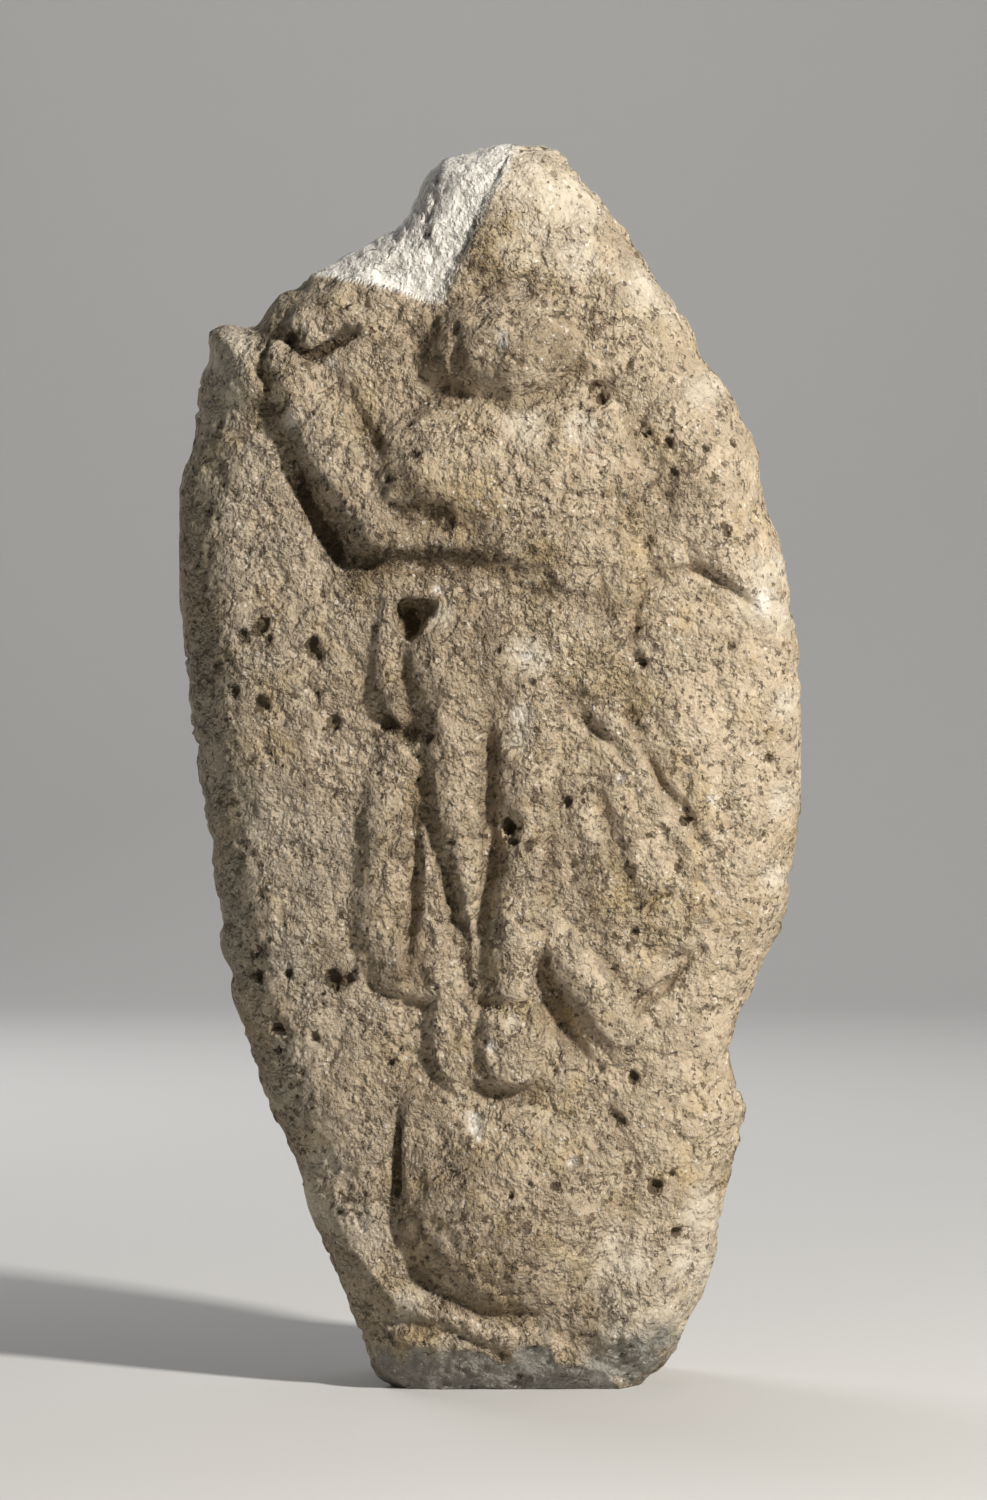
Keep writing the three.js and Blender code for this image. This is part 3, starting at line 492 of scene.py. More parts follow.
def relief_samples():
    xs = LATTICE_LOW[0] + LATTICE * np.arange(LATTICE_SIZE[0])
    zs = LATTICE_LOW[1] + LATTICE * np.arange(LATTICE_SIZE[1])
    samples = np.zeros((len(zs), len(xs)))
    for form in RAISED:
        stamp(samples, xs, zs, form, blended_max)
    for form in ADDED:
        stamp(samples, xs, zs, form, lambda a, b: a + np.maximum(b, 0))
    for form in CUT:
        stamp(samples, xs, zs, form, lambda a, b: a - np.maximum(b, 0))
    return smoothed(samples, WEAR_SPREAD / LATTICE)


def sampled(samples, x, z):
    across = (x - LATTICE_LOW[0]) / LATTICE
    up = (z - LATTICE_LOW[1]) / LATTICE
    i = np.clip(np.floor(across).astype(int), 0, LATTICE_SIZE[0] - 2)
    j = np.clip(np.floor(up).astype(int), 0, LATTICE_SIZE[1] - 2)
    s, t = across - i, up - j
    low = samples[j, i] * (1 - s) + samples[j, i + 1] * s
    high = samples[j + 1, i] * (1 - s) + samples[j + 1, i + 1] * s
    return low * (1 - t) + high * t


# Noise that is the same at every run

def eased(t):
    return t * t * (3 - 2 * t)


def noise(points, size, seed):
    table = np.random.RandomState(seed).uniform(-1, 1, (NOISE_CELLS,) * 3)
    cell = points / size + NOISE_SHIFT
    whole = np.floor(cell).astype(int)
    t = eased(cell - whole)
    total = np.zeros(len(points))
    for corner in np.ndindex(2, 2, 2):
        at = (whole + corner) % NOISE_CELLS
        weight = np.prod([t[:, k] if corner[k] else 1 - t[:, k] for k in range(3)], axis=0)
        total += weight * table[at[:, 0], at[:, 1], at[:, 2]]
    return total


def waves(points, *each):
    """Sum of noises, each given as its height, size and seed."""
    return sum(height * noise(points, size, seed) for height, size, seed in each)


# The outline and the patch between its four sides

def even_side(points, count):
    curve = curve_through(points, False, SIDE_CURVE_STEPS)
    lengths = np.concatenate([[0], np.cumsum(np.hypot(*np.diff(curve, axis=0).T))])
    shares = np.linspace(0, lengths[-1], count)
    return np.stack([np.interp(shares, lengths, curve[:, k]) for k in (0, 1)], axis=1)


def patch(foot, top, left, right):
    u = np.linspace(0, 1, len(foot))[None, :, None]
    v = np.linspace(0, 1, len(left))[:, None, None]
    sides = (1 - u) * left[:, None] + u * right[:, None]
    ends = (1 - v) * foot[None] + v * top[None]
    corners = (1 - v) * ((1 - u) * foot[0] + u * foot[-1]) + v * ((1 - u) * top[0] + u * top[-1])
    return sides + ends - corners


def break_fall(x, z):
    """How deep the fresh break cuts in, less than 0 outside it."""
    right = x - BREAK_CORNER[0]
    up = z - BREAK_CORNER[1]
    above = right * BREAK_UP[0] + up * BREAK_UP[1]
    beside = right * BREAK_LEFT[0] + up * BREAK_LEFT[1]
    return np.minimum(BREAK_SLOPE * above, BREAK_SIDE_SLOPE * beside)


def face_depth(x, z, relief):
    """Depth of the face at every place, and its marks: both breaks and the outer edge."""
    left, top, right = (even_side(side, RIM_POINTS) for side in (LEFT_SIDE, TOP_SIDE, RIGHT_SIDE))
    inside = distance_from(np.concatenate([right[:-1], top[:0:-1], left[::-1]]), x, z)
    ground = GROUND - WIDTH_FALL * (x / HALF_WIDTH) ** 2
    ground -= HEIGHT_FALL * ((z - MIDDLE_HEIGHT) / HALF_HEIGHT) ** 2
    rim = np.maximum(1 - inside / RIM_WIDTH, 0)
    arris = np.maximum(1 - inside / ARRIS_WIDTH, 0)
    # the forms waver a little, like worn carving
    place = np.stack([x, z, 0 * x], axis=1)
    figure_x = x / FIGURE_SCALE + waves(place, (1.5, 19, 31), (0.9, 6, 32))
    figure_z = z / FIGURE_SCALE + waves(place, (1.5, 19, 33), (0.9, 6, 34))
    depth = ground + sampled(relief, figure_x, figure_z) - RIM_FALL * rim ** 2 - ARRIS_FALL * arris ** 2
    fall = break_fall(figure_x, figure_z)
    fresh = clipped(fall / 1.2 + 0.4)
    depth = np.where(fall > 0, np.minimum(depth, ground + BREAK_STAND - fall), depth)
    broken = FOOT_SETBACK + FOOT_SLOPE * z + waves(place, (1.6, 9, 35), (2.4, 24, 36))
    broken = np.maximum(broken, FOOT_SETBACK)
    foot_break = clipped((depth - broken) / 2 + 0.3)
    return np.minimum(depth, broken), fresh, foot_break, clipped(1 - inside / EDGE_WIDTH)


def side_points(edge, share):
    """The ring of points at this share of the way from the face's edge to the back."""
    stations = [(edge[:, 1], 0)] + SIDE_RINGS
    place = share * len(SIDE_RINGS)
    k = min(int(place), len(SIDE_RINGS) - 1)
    t = place - k
    y = (1 - t) * stations[k][0] + t * stations[k + 1][0]
    inset = (1 - t) * stations[k][1] + t * stations[k + 1][1]
    along, _ = nearest(SPINE_FOOT, SPINE_TOP, edge[:, 0], edge[:, 2])
    spine_x = SPINE_FOOT[0] + along * (SPINE_TOP[0] - SPINE_FOOT[0])
    spine_z = SPINE_FOOT[1] + along * (SPINE_TOP[1] - SPINE_FOOT[1])
    reach = np.hypot(spine_x - edge[:, 0], spine_z - edge[:, 2])
    rise = eased(clipped(edge[:, 2] / FOOT_REACH))
    shift = (FOOT_INSET + (1 - FOOT_INSET) * rise) * inset / reach
    x = edge[:, 0] + (spine_x - edge[:, 0]) * shift
    z = edge[:, 2] + (spine_z - edge[:, 2]) * shift * rise
    return np.stack([x, np.broadcast_to(y, x.shape), z], axis=1)


def grid_loop(columns, rows):
    bottom = [(0, i) for i in range(columns - 1)]
    right = [(j, columns - 1) for j in range(rows - 1)]
    top = [(rows - 1, i) for i in range(columns - 1, 0, -1)]
    left = [(j, 0) for j in range(rows - 1, 0, -1)]
    return np.array([j * columns + i for j, i in bottom + right + top + left])


def grid_faces(columns, rows):
    j, i = np.meshgrid(range(rows - 1), range(columns - 1), indexing="ij")
    a = (j * columns + i).ravel()
    return np.stack([a, a + 1, a + columns + 1, a + columns], axis=1)


def slab_mesh():
    """The whole stone in millimetres: points, faces, and the marks of each point: both breaks, the outer
    edge, and the height over what is round it."""
    foot = even_side([LEFT_SIDE[0], RIGHT_SIDE[0]], COLUMNS)
    sides = (foot, even_side(TOP_SIDE, COLUMNS), even_side(LEFT_SIDE, ROWS), even_side(RIGHT_SIDE, ROWS))
    plan = patch(*sides).reshape(-1, 2)
    x, z = plan[:, 0], plan[:, 1]
    relief = relief_samples()
    depth, fresh, foot_break, arris = face_depth(x, z, relief)
    standing = sampled(relief - smoothed(relief, STANDING_SPREAD), x / FIGURE_SCALE, z / FIGURE_SCALE)
    points = [np.stack([x, -depth, z], axis=1)]
    marks = [np.stack([fresh, foot_break, arris, standing], axis=1)]
    faces = grid_faces(COLUMNS, ROWS).tolist()
    # rings of points from the face's edge to the back
    ring = grid_loop(COLUMNS, ROWS)
    edge = points[0][ring]
    edge_marks = marks[0][ring]
    count = len(plan)
    for step in range(1, SIDE_STEPS + 1):
        share = step / SIDE_STEPS
        points.append(side_points(edge, share))
        marks.append(edge_marks * (1 - share))
        following = count + np.arange(len(ring))
        count += len(ring)
        faces += np.stack([ring, following, np.roll(following, -1), np.roll(ring, -1)], axis=1).tolist()
        ring = following
    # the back, on a grid half as fine whose border takes every second point of the last ring
    columns, rows = COLUMNS // 2 + 1, ROWS // 2 + 1
    last = points[-1][::2, [0, 2]]
    c, r = columns - 1, rows - 1
    foot, right = last[:c + 1], last[c:c + r + 1]
    top, left = last[c + r:2 * c + r + 1][::-1], np.concatenate([last[2 * c + r:], last[:1]])[::-1]
    plan = patch(foot, top, left, right).reshape(-1, 2)
    border = grid_loop(columns, rows)
    inner = np.setdiff1d(np.arange(len(plan)), border)
    number = np.empty(len(plan), int)
    number[border] = ring[::2]
    number[inner] = count + np.arange(len(inner))
    points.append(np.stack([plan[inner, 0], np.full(len(inner), float(BACK)), plan[inner, 1]], axis=1))
    marks.append(np.zeros((len(inner), 4)))
    faces += number[grid_faces(columns, rows)[:, ::-1]].tolist()
    # corner triangles where two ring steps meet one step of the back
    faces += np.stack([np.roll(ring, -2), np.roll(ring, -1), ring], axis=1)[::2].tolist()
    return np.concatenate(points), faces, np.concatenate(marks).T


# Surface detail that is smaller than the solid's facets

# pits: x, z, radius, depth
PITS = [
    (-37, 473, 3.5, 4), (-41, 489, 3, 3), (-51, 461, 3, 3), (-118, 385, 8, 4), (-125, 384, 5, 4),
    (-90, 377, 7, 5), (-129, 354, 4, 3), (-117, 348, 6, 4), (-78, 339, 6, 4), (-31, 331, 4, 4),
    (-36, 309, 3, 3), (47, 304, 4, 4), (39, 299, 4, 4), (47, 299, 3, 3), (68, 295, 3, 3),
    (81, 281, 3, 3), (139, 281, 3, 3), (142, 320, 4, 4), (80, 483, 3, 3), (91, 485, 3, 3),
    (124, 480, 4, 4), (110, 476, 4, 4), (118, 438, 4, 4), (-78, 208, 8, 6), (-83, 196, 3, 3),
    (-87, 179, 4, 3), (-118, 223, 3, 3), (-117, 211, 4, 4), (-102, 211, 4, 4), (-107, 184, 5, 4),
    (-107, 173, 4, 4), (-49, 166, 3, 3), (-101, 154, 3, 3), (-97, 149, 3, 3), (72, 160, 5, 5),
    (83, 104, 6, 5), (92, 111, 3, 3), (35, 106, 4, 3), (11, 101, 3, 3), (95, 80, 4, 4),
    (-19, 114, 3, 3), (75, 203, 3, 3), (75, 245, 3, 3), (73, 233, 3, 3), (9, 287, 6, 6),
    (20, 276, 6, 4), (12, 278, 4, 4), (-112, 380, 5, 3), (-86, 372, 5, 4), (-71, 209, 5, 4),
    (8, 521, 2.5, 2), (52, 507, 5, 3), (58, 503, 4, 4), (78, 483, 3, 3), (90, 479, 4, 3),
    (115, 479, 3, 3), (92, 462, 4, 3), (119, 437, 5, 4), (121, 433, 4, 4), (77, 368, 4, 3),
    (121, 376, 3, 3), (75, 386, 3, 3), (98, 289, 4, 4), (82, 281, 3, 3), (96, 265, 4, 3),
]

# cracks and narrow hollows, which the stone also paints dark as shade: lines of x, z, half width, depth
CRACKS = [
    [(-99, 468, 3, 1), (-93, 452, 4, 3), (-84, 436, 4.5, 3), (-75, 422, 4, 3), (-70, 414, 3, 1)],
    [(-42, 397, 6, 1.5), (-40, 389, 6, 3), (-41, 382, 4, 1.5)],
    [(-37, 447, 4, 1), (-27, 441, 8, 2.2), (-16, 437, 4, 1)],
    [(-62, 420, 5, 1.5), (-46, 420, 6, 2.2), (-30, 421, 5.5, 2.2), (-12, 421, 4, 1.6), (4, 423, 3, 1)],
    [(-58, 346, 3, 1.2), (-52, 338, 4.5, 2.2), (-42, 333, 4.5, 2.2), (-34, 334, 3, 1.2)],
    [(-92, 359, 2, 1), (-90, 355, 2.5, 2), (-86, 353, 2, 1)],
    [(-119, 333, 1.5, 1), (-112, 324, 2, 2), (-106, 315, 1.5, 1)],
    [(-84, 409, 1.5, 1), (-84, 402, 2, 2), (-83, 394, 1.5, 1)],
    [(-83, 393, 1.5, 1), (-70, 394, 2, 1.5), (-62, 393, 1.5, 1)],
    [(74, 372, 2, 1), (76, 368, 3, 3), (80, 368, 2, 1)],
    [(-6, 196, 2, 1), (8, 195, 2, 2), (24, 199, 2, 1)],
    [(-28, 279, 1.5, 0.5), (-20, 277, 2, 1.5), (-12, 280, 1.5, 0.5)],
    [(54, 147, 2, 1), (65, 138, 2.5, 2), (70, 134, 2, 1)],
    [(-46, 143, 2, 1), (-47, 118, 2.5, 3), (-47, 100, 2.5, 2)],
    [(-98, 528, 2, 1), (-90, 523, 3, 3), (-80, 528, 3, 3), (-68, 533, 2, 2)],
    [(-101, 532, 4, 4), (-100, 531, 4, 3)],
    [(90, 405, 1, 0.5), (97, 402, 1.5, 1.5), (108, 399, 1.5, 1.5), (112, 391, 1, 0.5)],
    [(74, 245, 1.2, 0.5), (84, 250, 1.5, 1.5), (92, 252, 1.5, 1.5), (97, 250, 1, 0.5)],
    [(96, 235, 1.5, 1), (104, 232, 1.5, 1.5)],
    [(72, 235, 2, 1.5), (78, 230, 2, 1.5)],
    [(28, 416, 1.2, 1), (34, 404, 1.5, 1.5), (52, 400, 1.5, 1.5), (66, 404, 1, 0.5)],
]

# rough yellow stone: x, z, radius
ROUGH_PATCHES = [
    (50, 361, 20), (-120, 369, 20), (18, 262, 16), (60, 250, 22), (-5, 575, 30), (78, 34, 36),
    (-60, 410, 16), (10, 405, 34), (-40, 356, 12), (90, 240, 16), (0, 55, 40), (-110, 500, 20),
]

# pale stone, and painted light on some dim places: x, z, radius
PALE_AND_LIT_PLACES = [
    (40, 604, 22), (80, 556, 18), (20, 616, 24), (108, 506, 8), (136, 402, 12), (142, 412, 10),
    (146, 392, 10), (150, 350, 8), (150, 300, 9), (146, 260, 8), (112, 90, 12), (104, 60, 16),
    (92, 40, 20), (76, 30, 24), (64, 60, 22), (-132, 500, 14), (-136, 520, 12), (-128, 530, 10),
    (20, 372, 12), (-26, 392, 8), (15, 328, 8), (4, 520, 3), (16, 556, 5), (12, 188, 4), (-8, 138, 5),
    (16, 342, 6), (-60, 82, 12), (-92, 90, 14), (-40, 46, 10), (-84, 118, 10), (22, 580, 14),
    (44, 572, 12), (-112, 516, 7), (-106, 502, 7), (-100, 490, 6), (20, 486, 10), (44, 486, 8),
]

# painted shade, darker brown stone: x, z, radius
SHADE_PLACES = [
    (-27, 526, 20), (-30, 508, 16), (-14, 530, 18), (14, 526, 15), (-40, 436, 22), (-18, 428, 24),
    (-72, 452, 14), (-14, 380, 26), (-16, 350, 26), (-16, 316, 26), (-16, 280, 24), (18, 300, 16),
    (-36, 282, 20), (-40, 240, 20), (-42, 212, 16), (-36, 150, 16), (-40, 90, 14), (66, 440, 16),
    (76, 452, 14), (96, 456, 20), (72, 396, 18), (-46, 358, 18), (34, 530, 16), (-30, 430, 24),
    (-50, 424, 18), (-80, 428, 12), (-90, 444, 12), (-40, 390, 14),
]

# darkest painted shade: x, z, radius
DEEP_SHADE_PLACES = [
    (-96, 458, 10), (-90, 446, 10), (-82, 434, 11), (-76, 424, 11), (-60, 414, 9), (-44, 424, 12),
    (-24, 532, 11), (-22, 518, 13), (-20, 505, 10), (-52, 338, 9), (-42, 333, 9), (-39, 391, 13),
    (-27, 441, 15), (-50, 420, 14), (-38, 420, 15), (-26, 420, 14), (-12, 420, 12), (0, 422, 9),
    (36, 531, 15), (40, 522, 12), (-36, 432, 12),
]

# small fresh knocks, white: x, z, radius
WHITE_SPOTS = [
    (6, 531, 2.5), (7, 527, 2.5), (-8, 139, 3), (-7, 134, 3), (-6, 130, 2.5), (1, 176, 3),
    (-79, 520, 2.5), (66, 310, 2.5), (138, 397, 5), (140, 403, 4), (19, 371, 2.5), (14, 342, 2.5),
    (-26, 404, 3), (112, 300, 2.5), (42, 118, 2.5),
]

# grey stone of the break at the foot, painted dark as shade: x, z, radius
FOOT_PLACES = [
    (-60, 8, 10), (-50, 10, 12), (-38, 10, 13), (-26, 9, 14), (56, 10, 13), (68, 12, 14), (78, 18, 12),
    (86, 26, 9),
]

# Random pores, and the listed pits' share of their stated radius
PORES = 3200
PORE_SEED = 7
PORE_RADII = (1.4, 2.6)
PORE_REACH = 1.8
PIT_SHARE = 0.75


def vertex_normals(points, faces):
    mesh = bpy.data.meshes.new("scratch")
    mesh.from_pydata((points * MM).tolist(), [], faces)
    mesh.update()
    normals = np.empty(len(points) * 3)
    mesh.vertices.foreach_get("normal", normals)
    bpy.data.meshes.remove(mesh)
    return normals.reshape(-1, 3)


def pore_depths(points, front_count):
    """Depth of the pores at every point: the listed ones, then random ones over the whole stone."""
    rng = np.random.RandomState(PORE_SEED)
    ragged = 1 + waves(points, (0.45, 2.3, 8), (0.5, 5.5, 28))
    crowd = waves(points, (1, 26, 9), (0.5, 60, 10))
    tree = kdtree.KDTree(len(points))
    for k, point in enumerate(points):
        tree.insert(point, k)
    tree.balance()
    holes = []
    front = points[:front_count]
    for x, z, radius, depth in PITS:
        gaps = np.hypot(front[:, 0] - x * FIGURE_SCALE, front[:, 2] - z * FIGURE_SCALE)
        holes.append((front[gaps.argmin()], PIT_SHARE * radius, depth))
    for k in rng.randint(0, len(points), PORES):
        if crowd[k] > rng.uniform(-1, 0.9):
            radius = PORE_RADII[0] + (PORE_RADII[1] - PORE_RADII[0]) * rng.uniform() ** 3
            holes.append((points[k], radius, radius * rng.uniform(0.5, 1)))
    depths = np.zeros(len(points))
    for centre, radius, depth in holes:
        for _, k, gap in tree.find_range(centre, PORE_REACH * radius):
            t = gap * ragged[k] / radius
            if t < 1:
                depths[k] = max(depths[k], depth * (1 - t * t))
    return depths


def crack_depths(x, z):
    depths = np.zeros(len(x))
    for line in CRACKS:
        _, _, height = ridge(1, line)
        depths = np.maximum(depths, height(x, z))
    return depths


def blob(x, z, places):
    """1 in the listed places and 0 away from them, with a soft edge."""
    most = np.zeros(len(x))
    for px, pz, radius in places:
        most = np.maximum(most, clipped(1.4 - np.hypot(x - px, z - pz) / radius))
    return most


def surface_shift(points, rough, arris, hidden):
    """How far the weathered surface lies outside the smooth one, before its pores and cracks."""
    shift = waves(points, (0.5, 31, 1), (0.3, 13, 2))
    coarse = np.clip(1 + 1.6 * noise(points, 22, 26), 0.35, 2) + 0.6 * rough
    shift += coarse * waves(points, (0.25, 5.6, 3), (0.25, 3.1, 4), (0.15, 2.1, 27))
    # flakes that have come off, with crisp edges, and the cracks between lumps
    flake = waves(points, (1, 17, 21), (0.5, 7, 22))
    shift -= FLAKE_DEPTH * clipped((flake - FLAKE_LEVEL) / FLAKE_EDGE)
    crease = clipped(1 - np.abs(waves(points, (1, 11, 23), (0.3, 4, 24))) / CREASE_WIDTH)
    shift -= CREASE_DEPTH * crease * clipped(0.3 + 1.5 * noise(points, 24, 25))
    # small chips along the outer edge
    chips = 1.2 * np.maximum(noise(points, 16, 41), 0) + 1.5 * np.maximum(noise(points, 5, 42), 0)
    shift += arris * (EDGE_STAND - chips)
    return shift + hidden * (waves(points, (1.4, 44, 5), (1, 10, 6)) - HIDDEN_FALL)


def weathered_slab():
    """The stone with its roughness, pores and chips, and the marks that colour it."""
    points, faces, (fresh, foot_break, arris, standing) = slab_mesh()
    normals = vertex_normals(points, faces)
    front_count = COLUMNS * ROWS
    on_front = np.arange(len(points)) < front_count
    x, z = points[:, 0] / FIGURE_SCALE, points[:, 2] / FIGURE_SCALE
    rough = np.where(on_front, blob(x, z, ROUGH_PATCHES), 0.6)
    rough = clipped(rough + 0.7 * noise(points, 30, 11) - 0.1)
    rough = np.maximum(rough, np.maximum(0.4 * fresh, 0.8 * foot_break))
    pores = pore_depths(points, front_count)
    cracks = on_front * crack_depths(x, z)
    shift = surface_shift(points, rough, arris, ~on_front)
    moved = points + normals * (shift - pores - cracks)[:, None]
    moved[points[:, 2] < UNDERSIDE, 2] = 0

    white = 0.7 * blob(x, z, WHITE_SPOTS) * clipped(1.1 + 1.2 * noise(points, 2.4, 45))
    # pale rubbed stone, with painted light in some places
    pale_and_lit = np.where(on_front, blob(x, z, PALE_AND_LIT_PLACES), 0.2)
    # painted shade from the listed places, with a ragged edge
    painted_shade = np.maximum(0.6 * blob(x, z, SHADE_PLACES), blob(x, z, DEEP_SHADE_PLACES))
    painted_shade = clipped(painted_shade + 0.3 * noise(points, 14, 43) - 0.1)
    foot = clipped(blob(x, z, FOOT_PLACES) + 0.6 * noise(points, 9, 44) * (z < FOOT_TOP))
    return moved, faces, {
        # coarse yellow stone, and pale rubbed stone partly painted light
        "rough": rough,
        "pale_and_lit": clipped(pale_and_lit + 0.5 * noise(points, 16, 12) * (pale_and_lit > 0)),
        # pores and cracks, painted dark by the stone as dirt and shade
        "hollow": clipped((pores + cracks) / 4),
        # white broken stone, and the grey break at the foot painted dark as shade
        "fresh": np.maximum(fresh, on_front * white),
        "foot_break": np.maximum(foot_break, on_front * foot),
        # height over what is round it, in millimetres
        "standing": standing,
        # finer grain, towards the right
        "calm": on_front * clipped((x - 30) / 70) * 0.4,
        # painted shade, brown
        "painted_shade": np.where(on_front, painted_shade, 0.15),
        # grey weathering, towards the left and the foot
        "patina": clipped((-points[:, 0] - 40) / 90) * np.clip(1.3 - points[:, 2] / 620, 0.2, 1),
    }


# Materials

class Graph:
    """Short names for the few kinds of node that the materials need."""

    def __init__(self, tree):
        self.tree = tree

    def node(self, kind, **settings):
        made = self.tree.nodes.new(kind)
        for key, value in settings.items():
            setattr(made, key, value)
        return made

    def link(self, source, socket):
        self.tree.links.new(source, socket)

    def put(self, socket, value):
        if isinstance(value, bpy.types.NodeSocket):
            self.link(value, socket)
        else:
            socket.default_value = value

    def mark(self, name):
        return self.node("ShaderNodeAttribute", attribute_name=name).outputs["Fac"]

    def math(self, operation, a, b=0.0, clamp=False):
        made = self.node("ShaderNodeMath", operation=operation, use_clamp=clamp)
        self.put(made.inputs[0], a)
        self.put(made.inputs[1], b)
        return made.outputs[0]

    def plus(self, a, b):
        return self.math("ADD", a, b)

    def minus(self, a, b):
        return self.math("SUBTRACT", a, b)

    def times(self, a, b):
        return self.math("MULTIPLY", a, b)

    def larger(self, a, b):
        return self.math("MAXIMUM", a, b)

    def vector(self, operation, a, b):
        made = self.node("ShaderNodeVectorMath", operation=operation)
        self.put(made.inputs[0], a)
        self.put(made.inputs["Scale" if operation == "SCALE" else 1], b)
        return made.outputs[0]

    def range(self, value, low, high, to_low=0.0, to_high=1.0):
        made = self.node("ShaderNodeMapRange", interpolation_type="SMOOTHSTEP")
        for socket, number in zip(made.inputs, (value, low, high, to_low, to_high)):
            self.put(socket, number)
        return made.outputs[0]

    def mix(self, share, a, b):
        made = self.node("ShaderNodeMix", data_type="RGBA")
        self.put(made.inputs["Factor"], share)
        self.put(made.inputs[6], a)
        self.put(made.inputs[7], b)
        return made.outputs[2]

    def texture(self, kind, where, scale):
        made = self.node(kind)
        self.link(where, made.inputs["Vector"])
        made.inputs["Scale"].default_value = scale
        return made

    def noise(self, where, scale, detail, roughness=0.6):
        made = self.texture("ShaderNodeTexNoise", where, scale)
        made.inputs["Detail"].default_value = detail
        made.inputs["Roughness"].default_value = roughness
        return made.outputs[0]

    def strayed(self, where, scale, reach):
        """The place moved by a noise, which makes outlines ragged."""
        made = self.texture("ShaderNodeTexNoise", where, scale)
        stray = self.vector("SUBTRACT", made.outputs[1], (0.5, 0.5, 0.5))
        return self.vector("ADD", where, self.vector("SCALE", stray, reach))

    def pits(self, where, scale, reach):
        """1 in round spots of many sizes."""
        made = self.texture("ShaderNodeTexVoronoi", where, scale)
        radius = self.range(made.outputs["Color"], 0.25, 0.8, -0.05, reach)
        return self.range(self.minus(radius, made.outputs["Distance"]), 0, 0.07)

    def grains(self, where, scale):
        """One value for each grain."""
        return self.plus(self.texture("ShaderNodeTexVoronoi", where, scale).outputs["Color"], 0)

    def surface(self, roughness):
        shader = self.node("ShaderNodeBsdfPrincipled")
        shader.inputs["Roughness"].default_value = roughness
        self.link(shader.outputs[0], self.node("ShaderNodeOutputMaterial").inputs["Surface"])
        return shader


def material(name):
    made = bpy.data.materials.new(name)
    made.use_nodes = True
    made.node_tree.nodes.clear()
    return made, Graph(made.node_tree)


PALE_STONE = (0.585, 0.515, 0.405, 1)
LIGHT_STONE = (0.55, 0.448, 0.322, 1)
MID_STONE = (0.47, 0.374, 0.26, 1)
DARK_STONE = (0.24, 0.175, 0.105, 1)
OCHRE_STONE = (0.48, 0.35, 0.17, 1)
GREY_STONE = (0.485, 0.43, 0.345, 1)
FRESH_STONE = (0.86, 0.82, 0.75, 1)
FRESH_GREY = (0.64, 0.6, 0.53, 1)
# grey of the foot's break, painted dark as shade
SHADED_FOOT_STONE = (0.37, 0.35, 0.31, 1)
SHADED_FOOT_GREY = (0.22, 0.205, 0.175, 1)
# dirt and painted shade in pores, cracks and hollows
PORE_DIRT_AND_SHADE = (0.08, 0.055, 0.03, 1)
FLOOR_COLOUR = (0.62, 0.61, 0.59, 1)

# Heights of the fine relief of the stone, in millimetres
GRAIN_HEIGHT = 1
CHUNK_HEIGHT = 0.6
CRUMB_HEIGHT = 5.8
FLAKE_HEIGHT = 1.2
PIT_DEPTH = 2

STONE_ROUGHNESS = 0.95
STONE_SHINE = 0.2
FLOOR_ROUGHNESS = 0.9


